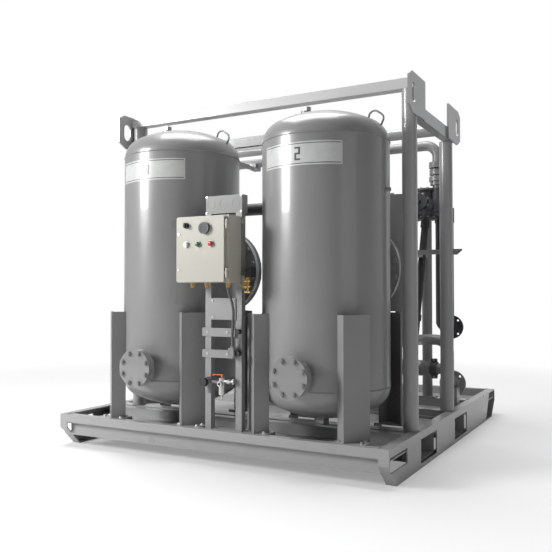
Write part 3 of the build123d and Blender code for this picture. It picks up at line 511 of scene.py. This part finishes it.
NODE_FINISH = {
    "skid": ("runner_left", "runner_right", "end_members", "cross_members", "fork_tubes", "deck_plates",
             "leg_bases", "posts", "side_beams", "rear_cross_pipe", "lifting_plates", "pipe_brackets",
             "pipe_stands"),
    # The front top beam takes the lighter paint with the painted highlight.
    "beam_highlight": ("front_top_beam",),
    "vessel": ("tower_left", "tower_right", "cleanout_covers"),
    # The junction boxes are zinc but take the darker leg paint: painted shade for the pull box, which stands
    # in the shade.
    "leg": ("tower_legs", "flange_studs", "junction_boxes"),
    "pipe": ("lower_header", "inlet_pipe", "riser_pipe", "top_pipe", "inlet_silencer",
             "exhaust_muffler"),
    "dark": ("handhole_covers", "filter_head", "filter_bowl", "valve_actuator", "outlet_pipe",
             "upper_header"),
    "panel": ("enclosure_body", "enclosure_door"),
    "zinc": ("wireway", "panel_struts", "panel_rails", "back_plate"),
    "plated": ("hinge_pins", "bed_screens", "fill_plugs", "drain_valve"),
    "cast": ("switching_valve", "grooved_couplings"),
    "brass": ("solenoid_valves", "cable_glands"),
    "grey": ("regulator_body", "pilot_lights"),
    "sounder": ("alarm_sounder",),
    "black": ("knob_bezel", "selector_knob", "clamp_knobs", "regulator_knob", "controller_and_relays"),
    "orange": ("drain_lever",),
    "hose": ("bypass_hose",),
    "cable": ("signal_cable",),
    "gasket": ("flange_gaskets",),
    "bead": ("desiccant_beds",),
    "media": ("filter_element",),
}


# Geometry Nodes


@dataclass
class Row:
    """Points that a repeated form is set on, each with the way it faces."""

    points: list[Vector] = field(default_factory=list)
    facing: list[Vector] = field(default_factory=list)

    def put(self, point: Vector, facing: Vector) -> None:
        """Add one point."""
        self.points.append(point)
        self.facing.append(facing.normalized())


class Repeater:
    """A Geometry Nodes tree that sets one small form at every point of a row."""

    def __init__(self, name: str, form: Callable[["Repeater"], Any], sizes: dict[str, float],
                 wobble: float) -> None:
        """Build the tree.

        Args:
            name: the tree's name.
            form: builds the repeated form in the tree and returns its geometry socket.
            sizes: named sizes in metres, each an input of the tree.
            wobble: random change of scale, as a share.
        """
        self.tree = bpy.data.node_groups.new(name, "GeometryNodeTree")
        self.sizes = sizes
        face = self.tree.interface
        face.new_socket("Geometry", in_out="INPUT", socket_type="NodeSocketGeometry")
        for key, value in sizes.items():
            face.new_socket(key, in_out="INPUT", socket_type="NodeSocketFloat").default_value = value
        face.new_socket("Finish", in_out="INPUT", socket_type="NodeSocketMaterial")
        face.new_socket("Geometry", in_out="OUTPUT", socket_type="NodeSocketGeometry")
        self.entry = self.tree.nodes.new("NodeGroupInput")
        leave = self.tree.nodes.new("NodeGroupOutput")
        facing = self.add("GeometryNodeInputNamedAttribute", {"data_type": "FLOAT_VECTOR"},
                          {"Name": "facing"})
        turn = self.add("FunctionNodeAlignRotationToVector", {"axis": "Z"}, {"Vector": facing.outputs[0]})
        scale = self.add("FunctionNodeRandomValue", {"data_type": "FLOAT"},
                         {2: 1.0 - wobble, 3: 1.0 + wobble, "Seed": 7})
        place = self.add("GeometryNodeInstanceOnPoints", {},
                         {"Points": self.entry.outputs["Geometry"], "Instance": form(self),
                          "Rotation": turn.outputs[0], "Scale": scale.outputs[1]})
        real = self.add("GeometryNodeRealizeInstances", {}, {0: place.outputs[0]})
        dressed = self.add("GeometryNodeSetMaterial", {}, {"Geometry": real.outputs[0],
                                                          "Material": self.entry.outputs["Finish"]})
        self.tree.links.new(dressed.outputs[0], leave.inputs[0])

    def add(self, kind: str, settings: dict[str, Any], inputs: dict[Any, Any]) -> Any:
        """Add a node.

        Args:
            kind: the node's type.
            settings: attributes that are set first.
            inputs: values or sockets by input.

        Returns:
            The node.
        """
        node = self.tree.nodes.new(kind)
        for key, value in settings.items():
            setattr(node, key, value)
        for key, value in inputs.items():
            if isinstance(value, bpy.types.NodeSocket):
                self.tree.links.new(value, node.inputs[key])
            else:
                node.inputs[key].default_value = value
        return node

    def size(self, key: str) -> Any:
        """The input socket of one named size."""
        return self.entry.outputs[key]

    def grow(self, name: str, row: Row, material: Any, smooth: bool = True, **sizes: float) -> Any:
        """Run the tree on a row of points.

        Args:
            name: name of the new piece.
            row: the points.
            material: finish of the piece.
            smooth: whether its faces are shaded smooth.
            sizes: sizes that differ from the tree's own.

        Returns:
            A plain mesh object.
        """
        guide = bpy.data.meshes.new(name + "_guide")
        guide.from_pydata([p[:] for p in row.points], [], [])
        facing = guide.attributes.new("facing", "FLOAT_VECTOR", "POINT")
        facing.data.foreach_set("vector", [c for v in row.facing for c in v])
        helper = bpy.data.objects.new(name + "_guide", guide)
        bpy.context.scene.collection.objects.link(helper)
        modifier = helper.modifiers.new("repeat", "NODES")
        modifier.node_group = self.tree
        for item in self.tree.interface.items_tree:
            if item.in_out == "INPUT" and item.name in self.sizes:
                modifier[item.identifier] = sizes.get(item.name, self.sizes[item.name])
            if item.in_out == "INPUT" and item.name == "Finish":
                modifier[item.identifier] = material
        graph = bpy.context.evaluated_depsgraph_get()
        mesh = bpy.data.meshes.new_from_object(helper.evaluated_get(graph), depsgraph=graph)
        bpy.data.objects.remove(helper)
        mesh.name = name
        if not mesh.materials:
            mesh.materials.append(material)
        if smooth:
            mesh.shade_smooth()
        piece = bpy.data.objects.new(name, mesh)
        bpy.context.scene.collection.objects.link(piece)
        return piece


def bead_form(tree: Repeater) -> Any:
    """One ripple of a weld.

    Args:
        tree: the tree it is built in.

    Returns:
        The form's geometry socket.
    """
    ball = tree.add("GeometryNodeMeshUVSphere", {},
                    {"Segments": 8, "Rings": 6, "Radius": tree.size("Radius")})
    return ball.outputs["Mesh"]


def screw_form(tree: Repeater) -> Any:
    """A hexagon head on a washer.

    Args:
        tree: the tree it is built in.

    Returns:
        The form's geometry socket.
    """
    head = tree.add("GeometryNodeMeshCylinder", {"fill_type": "NGON"},
                    {"Vertices": 6, "Radius": tree.size("Radius"), "Depth": tree.size("Height")})
    flat = tree.add("GeometryNodeMeshCylinder", {"fill_type": "NGON"},
                    {"Vertices": 20, "Radius": tree.size("Washer"), "Depth": tree.size("Thin")})
    lift = tree.add("ShaderNodeCombineXYZ", {}, {"Z": tree.add(
        "ShaderNodeMath", {"operation": "MULTIPLY"}, {0: tree.size("Height"), 1: 0.5}).outputs[0]})
    raised = tree.add("GeometryNodeTransform", {}, {"Geometry": head.outputs["Mesh"],
                                                    "Translation": lift.outputs[0]})
    both = tree.add("GeometryNodeJoinGeometry", {}, {})
    tree.tree.links.new(flat.outputs["Mesh"], both.inputs[0])
    tree.tree.links.new(raised.outputs[0], both.inputs[0])
    return both.outputs[0]


# Mesh helpers


class Mill:
    """Collects faces and turns them into one object."""

    def __init__(self) -> None:
        """Start with nothing."""
        self.points: list[Vector] = []
        self.faces: list[tuple[int, ...]] = []

    def face(self, corners: Sequence[Vector]) -> None:
        """Add one face from its own corners."""
        start = len(self.points)
        self.points.extend(corners)
        self.faces.append(tuple(range(start, start + len(corners))))

    def slab(self, outline: Sequence[Vector], out: Vector, bevel: float = 0.0) -> None:
        """A thin plate with a flat outline and softened front edge.

        Args:
            outline: corners, turning left seen from the front.
            out: from the back to the front.
            bevel: width of the softened edge in metres.
        """
        centre = sum(outline, Vector()) / len(outline)
        thick = out.length
        side = [p + out * (1.0 - min(0.9, bevel / thick if bevel else 0.0)) for p in outline]
        front = []
        for p in outline:
            inward = centre - p
            front.append(p + out + inward * (bevel / inward.length if bevel else 0.0))
        count = len(outline)
        self.face(list(reversed(outline)))
        self.face(front)
        for i in range(count):
            j = (i + 1) % count
            self.face([outline[i], outline[j], side[j], side[i]])
            self.face([side[i], side[j], front[j], front[i]])

    def disc(self, centre: Vector, radius: float, out: Vector, sides: int = 32, bevel: float = 0.0) -> None:
        """A round plate.

        Args:
            centre: middle of its back.
            radius: its radius in metres.
            out: from the back to the front.
            sides: number of straight sides.
            bevel: width of the softened edge.
        """
        turn = out.to_track_quat("Z", "Y")
        ring = [centre + turn @ Vector((radius * math.cos(a), radius * math.sin(a), 0.0))
                for a in (2 * math.pi * i / sides for i in range(sides))]
        self.slab(ring, out, bevel)

    def ring(self, centre: Vector, outer: float, inner: float, out: Vector, sides: int = 48) -> None:
        """A flat ring.

        Args:
            centre: middle of its back.
            outer: outside radius in metres.
            inner: inside radius in metres.
            out: from the back to the front.
            sides: number of straight sides.
        """
        turn = out.to_track_quat("Z", "Y")

        def at(radius: float, i: int, up: float) -> Vector:
            """A corner of the ring."""
            a = 2 * math.pi * i / sides
            return centre + turn @ Vector((radius * math.cos(a), radius * math.sin(a), 0.0)) + out * up

        for i in range(sides):
            self.face([at(outer, i, 0), at(outer, i + 1, 0), at(outer, i + 1, 1), at(outer, i, 1)])
            self.face([at(inner, i + 1, 0), at(inner, i, 0), at(inner, i, 1), at(inner, i + 1, 1)])
            self.face([at(inner, i, 1), at(outer, i, 1), at(outer, i + 1, 1), at(inner, i + 1, 1)])
            self.face([at(outer, i, 0), at(inner, i, 0), at(inner, i + 1, 0), at(outer, i + 1, 0)])

    def finish(self, name: str, material: Any) -> Any:
        """Make the object.

        Args:
            name: its name.
            material: its finish.

        Returns:
            The new object.
        """
        mesh = bpy.data.meshes.new(name)
        mesh.from_pydata([p[:] for p in self.points], [], self.faces)
        mesh.materials.append(material)
        piece = bpy.data.objects.new(name, mesh)
        bpy.context.scene.collection.objects.link(piece)
        return piece


def box_outline(x0: float, x1: float, y: float, z0: float, z1: float) -> list[Vector]:
    """Corners of an upright rectangle that faces the front.

    Args:
        x0: left edge in millimetres.
        x1: right edge.
        y: depth of its back.
        z0: lower edge.
        z1: upper edge.

    Returns:
        The four corners in metres.
    """
    return [spot(x0, y, z0), spot(x1, y, z0), spot(x1, y, z1), spot(x0, y, z1)]


class Workshop:
    """What every sub-assembly shares: finishes, repeaters and the way pieces are handed in."""

    def __init__(self) -> None:
        """Make the shared trees."""
        self.paints = Paints()
        self.welds = Repeater("weld_ripples", bead_form, {"Radius": 0.004}, 0.14)
        self.screws = Repeater("hexagon_screws", screw_form,
                               {"Radius": 0.007, "Height": 0.006, "Washer": 0.010, "Thin": 0.003}, 0.0)

    def hand_in(self, piece: Any, body: Body, slot: str) -> Any:
        """Let a piece ride on a body, and log it.

        Args:
            piece: the object.
            body: the body that carries it.
            slot: the record's material slot; not used.

        Returns:
            The same object.
        """
        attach(piece, body.value)
        log.info("%s on %s, %d faces", piece.name, body.value, len(piece.data.polygons))
        return piece


@dataclass
class TowerTrim:
    """Welds and labels of the two towers."""

    shop: Workshop
    seams: tuple[float, float] = (464.0, 1893.0)
    leg_top: float = 887.0
    leg_offset: float = 74.4
    leg_thick: float = 12.7
    cleanout: tuple[float, float] = (550.0, 57.15)
    handhole: tuple[float, float] = (1165.0, 203.2)
    label: tuple[float, float, float] = (1710.0, 1842.0, 38.5)
    film_thick: float = 0.7

    def _saddle(self, row: Row, x: float, z: float, radius: float, front: bool) -> None:
        """Points where a neck meets the shell.

        Args:
            row: where they go.
            x: the tower's axis.
            z: the neck's height.
            radius: the neck's outside radius.
            front: whether the neck is on the front.
        """
        steps = int(2 * math.pi * radius / 5.5)
        sign = -1.0 if front else 1.0
        for i in range(steps):
            a = 2 * math.pi * i / steps
            dx = (radius + 2.0) * math.cos(a)
            y = TOWER_Y + sign * math.sqrt((SHELL_R + 1.0) ** 2 - dx * dx)
            row.put(spot(x + dx, y, z + (radius + 2.0) * math.sin(a)), Vector((dx / SHELL_R, sign, 0)))

    def _round(self, row: Row, x: float, z: float, radius: float) -> None:
        """Points of a level ring round a tower.

        Args:
            row: where they go.
            x: the tower's axis.
            z: the ring's height.
            radius: its radius.
        """
        steps = int(2 * math.pi * radius / 6.5)
        for i in range(steps):
            a = 2 * math.pi * i / steps
            out = Vector((math.cos(a), math.sin(a), 0))
            row.put(spot(x + radius * out.x, TOWER_Y + radius * out.y, z), out)

    def _leg_lines(self, row: Row, x: float) -> None:
        """Points along the leg welds of one tower.

        Args:
            row: where they go.
            x: the tower's axis.
        """
        for quarter in range(4):
            side_x = -1.0 if quarter in (1, 2) else 1.0
            side_y = -1.0 if quarter in (2, 3) else 1.0
            radial = Vector((side_x, side_y, 0)).normalized()
            across = Vector((side_x, -side_y, 0)).normalized()
            for offset in (self.leg_offset + 2.5, self.leg_offset - self.leg_thick - 2.5):
                reach = math.sqrt(SHELL_R ** 2 - offset ** 2)
                base = radial * reach + across * offset
                z = self.seams[0] + 10.0
                while z < self.leg_top:
                    row.put(spot(x + base.x, TOWER_Y + base.y, z), radial)
                    z += 6.5

    def _label(self, x: float, name: str, digit: int) -> None:
        """A curved plain label with a generic tower number.

        Args:
            x: the tower's axis.
            name: the piece's name.
            digit: the generic tower number, 1 or 2.
        """
        low, high, half = self.label
        film, ink = Mill(), Mill()

        def patch(mill: Mill, a0: float, a1: float, z0: float, z1: float, lift: float, steps: int) -> None:
            """One curved patch on the shell, from angle a0 to a1 in degrees."""
            front = SHELL_R + lift
            back = front - self.film_thick

            def at(a: float, z: float, r: float) -> Vector:
                """A point on the shell."""
                turn = math.radians(a)
                return spot(x + r * math.sin(turn), TOWER_Y - r * math.cos(turn), z)

            for i in range(steps):
                b0, b1 = a0 + (a1 - a0) * i / steps, a0 + (a1 - a0) * (i + 1) / steps
                mill.face([at(b0, z0, front), at(b1, z0, front), at(b1, z1, front), at(b0, z1, front)])
                mill.face([at(b0, z1, back), at(b1, z1, back), at(b1, z0, back), at(b0, z0, back)])
                mill.face([at(b0, z1, front), at(b1, z1, front), at(b1, z1, back), at(b0, z1, back)])
                mill.face([at(b0, z0, back), at(b1, z0, back), at(b1, z0, front), at(b0, z0, front)])
            for a, at_start in ((a0, True), (a1, False)):
                rims = [at(a, z0, back), at(a, z0, front), at(a, z1, front), at(a, z1, back)]
                mill.face(rims if at_start else list(reversed(rims)))

        inset, gap, line = 1.2, 9.0, 4.0
        patch(film, -half, half, low, high, 0.9, 28)
        patch(ink, -half + inset, half - inset, low + gap, low + gap + line, 1.2, 26)
        patch(ink, -half + inset, half - inset, high - gap - line, high - gap, 1.2, 26)
        right, left, bar = 1.2, -2.4, 1.8
        bars = {1: [(right, 0, 1)], 2: [(right, 0.5, 1), (left, 0, 0.5)]}[digit]
        z0, z1 = low + 34, high - 34
        for a, v0, v1 in bars:
            patch(ink, a, a + bar, z0 + (z1 - z0) * v0, z0 + (z1 - z0) * v1, 1.2, 2)
        if digit == 2:
            for v in (0.0, 0.5, 1.0):
                z = z0 + (z1 - z0) * v
                patch(ink, left, right + bar, z - 5, z + 5, 1.25, 3)
        self.shop.hand_in(film.finish(name, self.shop.paints["sticker"]), Body.SKID, "vessel_paint")
        self.shop.hand_in(ink.finish(name + "_print", self.shop.paints["ink"]), Body.SKID, "dark_paint")

    def build(self) -> None:
        """Make the trim of both towers."""
        for side, x in zip(("left", "right"), TOWER_XS):
            seams, necks, legs = Row(), Row(), Row()
            for z in self.seams:
                self._round(seams, x, z, SHELL_R + 0.5)
            self._saddle(necks, x, *self.cleanout, True)
            self._saddle(necks, x, *self.handhole, False)
            self._leg_lines(legs, x)
            weld = self.shop.paints["weld"]
            for name, row, radius in (("seam_weld", seams, 0.0032), ("neck_weld", necks, 0.0048),
                                      ("leg_weld", legs, 0.0042)):
                piece = self.shop.welds.grow(f"{name}_{side}", row, weld, Radius=radius)
                self.shop.hand_in(piece, Body.SKID, "vessel_paint")
            self._label(x, f"tower_label_{side}", 1 if side == "left" else 2)


@dataclass
class SkidTrim:
    """Welds and screws of the skid and the lifting frame."""

    shop: Workshop
    weld_x: float = 1080.0
    weld_z: float = 210.5
    lip_ends: tuple[float, float] = (2.0, 46.0)
    rear_lip: tuple[float, float] = (2554.0, 2598.0)
    cross_members: tuple[tuple[float, float], ...] = ((408.0, 464.0), (502.0, 588.0), (1328.0, 1384.0),
                                                      (1862.0, 1948.0))
    posts_x: tuple[float, float] = (-926.5, 1080.5)
    posts_y: tuple[float, float] = (545.0, 1341.0)
    post_r: float = 44.45
    post_weld_z: float = 211.5
    frame_mid_x: float = 77.0
    beam_out: float = 1048.95
    beam_welds: tuple[tuple[float, float], ...] = ((548.0, 676.0), (1210.0, 1340.0))
    beam_zs: tuple[float, float] = (2118.0, 2038.0)
    feet_dx: tuple[float, float] = (232.0, 362.0)
    feet_y: tuple[float, float] = (70.0, 122.0)

    def _line(self, row: Row, start: Vector, end: Vector, facing: Vector, step: float = 0.007) -> None:
        """Points along a straight weld.

        Args:
            row: where they go.
            start: one end in metres.
            end: the other end.
            facing: which way the ripples face.
            step: spacing in metres.
        """
        count = max(1, int((end - start).length / step))
        for i in range(count + 1):
            row.put(start.lerp(end, i / count), facing)

    def build(self) -> None:
        """Make the welds and the foot screws."""
        row = Row()
        ripples = 44
        ring_r = self.post_r + 2
        for x in self.posts_x:
            for y in self.posts_y:
                for i in range(ripples):
                    a = 2 * math.pi * i / ripples
                    row.put(spot(x + ring_r * math.cos(a), y + ring_r * math.sin(a), self.post_weld_z),
                            Vector((math.cos(a), math.sin(a), 0.4)))
        up = Vector((0, 0, 1))
        front, back = self.lip_ends
        beam_top, beam_low = self.beam_zs
        for side in (-1.0, 1.0):
            x, z = side * self.weld_x, self.weld_z
            for y in self.lip_ends:
                self._line(row, spot(x, y, z), spot(x, y + 1, z), up)
            for y0, y1 in ((front, back), self.rear_lip, *self.cross_members):
                self._line(row, spot(x, y0, z), spot(x, y1, z), up)
            beam_x = self.frame_mid_x + side * self.beam_out
            for y0, y1 in self.beam_welds:
                self._line(row, spot(beam_x, y0, beam_top), spot(beam_x, y1, beam_top), up)
                self._line(row, spot(beam_x, y0, beam_low), spot(beam_x, y1, beam_low), -up)
        piece = self.shop.welds.grow("frame_welds", row, self.shop.paints["weld"], Radius=0.0034)
        self.shop.hand_in(piece, Body.SKID, "skid_paint")
        feet = Row()
        for x in TOWER_XS:
            for side in (-1.0, 1.0):
                for dx in self.feet_dx:
                    for y in self.feet_y:
                        feet.put(spot(x + side * dx, y, 210), up)
        piece = self.shop.screws.grow("foot_screws", feet, self.shop.paints["plated"], smooth=False,
                                      Radius=0.012, Height=0.010, Washer=0.017)
        self.shop.hand_in(piece, Body.SKID, "steel")


@dataclass
class PanelTrim:
    """What is on the control panel: latches, lenses, screws and the solenoid's cover."""

    shop: Workshop
    door_left: float = -104.0
    face_y: float = -120.0
    lamps: tuple[tuple[float, float, str], ...] = ((-33.0, 1284.0, "lamp_white"),
                                                   (49.0, 1284.0, "lamp_green"), (136.0, 1284.0, "lamp_red"))
    screws: tuple[tuple[float, tuple[float, float], tuple[float, float]], ...] = (
        (33.0, (-122.0, 252.0), (1091.0, 1422.0)), (35.0, (2.0, 240.0), (1479.0, 1572.0)),
        (27.0, (14.0, 150.0), (777.0, 652.0)), (29.0, (50.0, 190.0), (866.0, 962.0)))
    coil: tuple[float, float, float, float, float, float] = (285.0, 326.0, 4.0, 56.0, 1095.0, 1151.0)
    latch_zs: tuple[float, float] = (1345.0, 1140.0)
    latch_in: float = 17.0
    latch_high: float = 4.0
    lens_r: float = 15.5
    lens_high: float = 9.0
    lens_lift: float = 10.0

    def _lens(self, x: float, z: float, finish: str, index: int) -> Any:
        """A domed lens in a bright ring.

        Args:
            x: place across the door.
            z: height.
            finish: finish of the lens.
            index: number for its name.

        Returns:
            The lens.
        """
        mill = Mill()
        base_y = self.face_y - self.lens_lift
        sides, rings = 28, 6

        def at(ring: int, i: int) -> Vector:
            """A point of the dome."""
            a = 2 * math.pi * i / sides
            lean = 0.5 * math.pi * ring / rings
            r = self.lens_r * math.cos(lean)
            return spot(x + r * math.cos(a), base_y - self.lens_high * math.sin(lean), z + r * math.sin(a))

        for ring in range(rings):
            for i in range(sides):
                corners = [at(ring, i), at(ring, i + 1), at(ring + 1, i + 1), at(ring + 1, i)]
                mill.face(corners[:3] if ring == rings - 1 else corners)
        return mill.finish(f"lamp_lens_{index}", self.shop.paints[finish])

    def build(self) -> None:
        """Make the trim."""
        bright = Mill()
        for x, z, _ in self.lamps:
            bright.ring(spot(x, self.face_y - 0.2, z), 0.0185, 0.0162, Vector((0, -0.006, 0)))
        self.shop.hand_in(bright.finish("lamp_rings", self.shop.paints["plated"]), Body.DOOR, "steel")
        for index, (x, z, finish) in enumerate(self.lamps):
            lens = self._lens(x, z, finish, index + 1)
            lens.data.shade_smooth()
            self.shop.hand_in(lens, Body.DOOR, "lens_plastic")
        latches, slots = Mill(), Mill()
        x, front_y = self.door_left + self.latch_in, self.face_y - self.latch_high
        for z in self.latch_zs:
            latches.disc(spot(x, self.face_y, z), 0.0085, Vector((0, -0.004, 0)), 28, 0.001)
            slots.slab(box_outline(x - 5.5, x + 5.5, front_y, z - 1.1, z + 1.1), Vector((0, -0.0002, 0)))
        self.shop.hand_in(latches.finish("door_latches", self.shop.paints["plated"]), Body.DOOR, "steel")
        self.shop.hand_in(slots.finish("latch_slots", self.shop.paints["ink"]), Body.DOOR, "black_plastic")
        self._screws()
        self._coil_cover()

    def _screws(self) -> None:
        """Screws of the ears, the pull box and the rails."""
        row = Row()
        for y, xs, zs in self.screws:
            for z in zs:
                for x in xs:
                    row.put(spot(x, y, z), Vector((0, -1, 0)))
        piece = self.shop.screws.grow("panel_screws", row, self.shop.paints["plated"], smooth=False,
                                      Radius=0.0055, Height=0.0045, Washer=0.0078, Thin=0.0024)
        self.shop.hand_in(piece, Body.SKID, "steel")

    def _coil_cover(self) -> None:
        """The moulded cover of the solenoid's coil."""
        cover = Mill()
        x0, x1, y0, y1, z0, z1 = self.coil
        cover.slab(box_outline(x0, x1 + 1.5, y0, z0, z1), Vector((0, -0.002, 0)), 0.001)
        side = [spot(x1, y0, z0), spot(x1, y1, z0), spot(x1, y1, z1), spot(x1, y0, z1)]
        cover.slab(side, Vector((0.0015, 0, 0)))
        self.shop.hand_in(cover.finish("coil_cover", self.shop.paints["black"]), Body.SKID, "black_plastic")


@dataclass
class PipeTrim:
    """Screws of the pipe couplings, the switching valve and its actuator."""

    shop: Workshop
    valve: tuple[float, float, float, float] = (778.0, 1905.0, 1573.0, 1813.0)
    side_port: tuple[float, float] = (72.0, 1631.0)
    circles: tuple[float, float, float] = (68.0, 59.0, 64.0)
    actuator_out: float = 179.0
    top_pipe_dx: float = 50.0
    couplings: tuple[tuple[float, float, float, float], ...] = (
        (905.0, 1650.0, 457.0, 38.0), (150.0, 1650.0, 457.0, 57.0), (100.0, 1100.0, 1631.0, 44.5))

    def build(self) -> None:
        """Make the trim."""
        x, y, low, top = self.valve
        port_out, port_z = self.side_port
        flange_r, port_r, actuator_r = self.circles
        row = Row()
        for i in range(8):
            a = 2 * math.pi * (i + 0.5) / 8
            dx, dy = flange_r * math.cos(a), flange_r * math.sin(a)
            row.put(spot(x + dx, y + dy, low + 18), Vector((0, 0, 1)))
            if dx < self.top_pipe_dx:
                row.put(spot(x + dx, y + dy, top), Vector((0, 0, 1)))
            row.put(spot(x - port_out, y + port_r * math.cos(a), port_z + port_r * math.sin(a)),
                    Vector((1, 0, 0)))
            row.put(spot(x + actuator_r * math.cos(a), y - self.actuator_out,
                         (low + top) / 2 + actuator_r * math.sin(a)), Vector((0, -1, 0)))
        for cx, cy, cz, r in self.couplings:
            for side in (-1.0, 1.0):
                for face in (1.0, -1.0):
                    row.put(spot(cx, cy + face * 13.0, cz + side * (r + 25)), Vector((0, face, 0)))
        piece = self.shop.screws.grow("valve_screws", row, self.shop.paints["plated"], smooth=False,
                                      Radius=0.0085, Height=0.008, Washer=0.0105)
        self.shop.hand_in(piece, Body.SKID, "steel")


class Studio:
    """Floor, lamps, world and camera."""

    CAMERA = (2345.34, -3399.05, 1001.69)
    YAW, PITCH, LENS = 28.65, 1.46, 45.60

    def build(self) -> None:
        """Set the studio up."""
        self._floor()
        self._lamps()
        self._world()
        self._camera()

    def _floor(self) -> None:
        """A plain pale floor that shows white to the camera and keeps the shadow."""
        size, sink = 60.0, -0.0008
        mesh = bpy.data.meshes.new("studio_floor")
        mesh.from_pydata([(-size, -size, sink), (size, -size, sink), (size, size, sink), (-size, size, sink)],
                         [], [(0, 1, 2, 3)])
        sheet = Sheet("studio_floor", 0.9)
        sheet.colour((0.80, 0.80, 0.80))
        sheet.shader.inputs["Specular IOR Level"].default_value = 0.1
        away = sheet.add("ShaderNodeVectorMath", {"operation": "LENGTH"}, {0: sheet.place()}, out="Value")
        camera_ray = sheet.add("ShaderNodeLightPath", out="Is Camera Ray")
        far = (((away - 1.6) / 4.2).clipped() * 0.72 + 0.28) * camera_ray
        white = sheet.add("ShaderNodeEmission", {}, {"Color": (1.0, 1.0, 1.0), "Strength": 1.0})
        blend = sheet.add("ShaderNodeMixShader", {},
                          {0: far, 1: Wire(sheet, sheet.shader.outputs[0]), 2: white})
        sheet.join(blend, sheet.tree.nodes["Material Output"].inputs["Surface"])
        mesh.materials.append(sheet.material)
        floor = bpy.data.objects.new("studio_floor", mesh)
        bpy.context.scene.collection.objects.link(floor)

    def _lamp(self, name: str, place: tuple[float, float, float], size: float, power: float) -> None:
        """A square soft box aimed at the dryer.

        Args:
            name: its name.
            place: where it stands, in metres.
            size: its side in metres.
            power: its power in watts.
        """
        data = bpy.data.lights.new(name, "AREA")
        data.shape = "SQUARE"
        data.size = size
        data.energy = power
        lamp = bpy.data.objects.new(name, data)
        lamp.location = place
        lamp.rotation_euler = (Vector((0, 0, 1.0)) - Vector(place)).to_track_quat("-Z", "Y").to_euler()
        bpy.context.scene.collection.objects.link(lamp)

    def _lamps(self) -> None:
        """Key from the front left, a soft top light and a weak fill."""
        self._lamp("key_light", (-4.4, -5.2, 3.2), 2.0, 470.0)
        self._lamp("top_light", (-0.6, -0.2, 6.0), 3.6, 380.0)
        self._lamp("fill_light", (6.0, -3.5, 2.2), 3.0, 26.0)

    def _world(self) -> None:
        """A soft grey surround, brighter behind the dryer and white where the camera looks straight at it."""
        world = bpy.data.worlds.new("studio")
        bpy.context.scene.world = world
        world.use_nodes = True
        tree = world.node_tree
        back = tree.nodes["Background"]
        back.inputs["Color"].default_value = (0.62, 0.63, 0.64, 1.0)
        # The background's strength rises with how far a direction points to the back
        way = tree.nodes.new("ShaderNodeTexCoord")
        parts = tree.nodes.new("ShaderNodeSeparateXYZ")
        ramp = tree.nodes.new("ShaderNodeMapRange")
        tree.links.new(way.outputs["Generated"], parts.inputs[0])
        tree.links.new(parts.outputs["Y"], ramp.inputs["Value"])
        for key, value in (("From Min", 0.25), ("From Max", 0.75), ("To Min", 0.20), ("To Max", 1.2)):
            ramp.inputs[key].default_value = value
        tree.links.new(ramp.outputs["Result"], back.inputs["Strength"])
        white = tree.nodes.new("ShaderNodeBackground")
        white.inputs["Color"].default_value = (1.0, 1.0, 1.0, 1.0)
        path = tree.nodes.new("ShaderNodeLightPath")
        mix = tree.nodes.new("ShaderNodeMixShader")
        tree.links.new(path.outputs["Is Camera Ray"], mix.inputs[0])
        tree.links.new(back.outputs[0], mix.inputs[1])
        tree.links.new(white.outputs[0], mix.inputs[2])
        tree.links.new(mix.outputs[0], tree.nodes["World Output"].inputs[0])
        bpy.context.scene.view_settings.view_transform = "Standard"

    def _camera(self) -> None:
        """The photograph's viewpoint."""
        data = bpy.data.cameras.new("camera")
        data.sensor_width = 36.0
        data.lens = self.LENS
        data.clip_end = 200.0
        camera = bpy.data.objects.new("camera", data)
        camera.location = spot(*self.CAMERA)
        camera.rotation_euler = (math.radians(90.0 + self.PITCH), 0.0, math.radians(self.YAW))
        bpy.context.scene.collection.objects.link(camera)
        bpy.context.scene.camera = camera


class Dryer:
    """The whole dressed object."""

    def __init__(self, frame: dict[str, Any]) -> None:
        """Keep the frame and open the workshop."""
        self.frame = frame
        self.shop = Workshop()

    def paint_nodes(self) -> None:
        """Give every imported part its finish."""
        for key, names in NODE_FINISH.items():
            for name in names:
                part = self.frame["nodes"][name]
                for slot in part.material_slots:
                    slot.material = self.shop.paints[key]
                log.info("%s finished as %s", name, key)

    def build(self) -> None:
        """Dress the dryer."""
        self.paint_nodes()
        for trim in (TowerTrim, SkidTrim, PanelTrim, PipeTrim):
            trim(self.shop).build()


def main() -> None:
    """Load the frame, dress it and set the studio up."""
    logging.basicConfig(level=logging.INFO, format="%(name)s: %(message)s")
    for old in list(bpy.data.objects):
        bpy.data.objects.remove(old)
    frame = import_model()
    Dryer(frame).build()
    Studio().build()


if __name__ == "__main__":
    main()
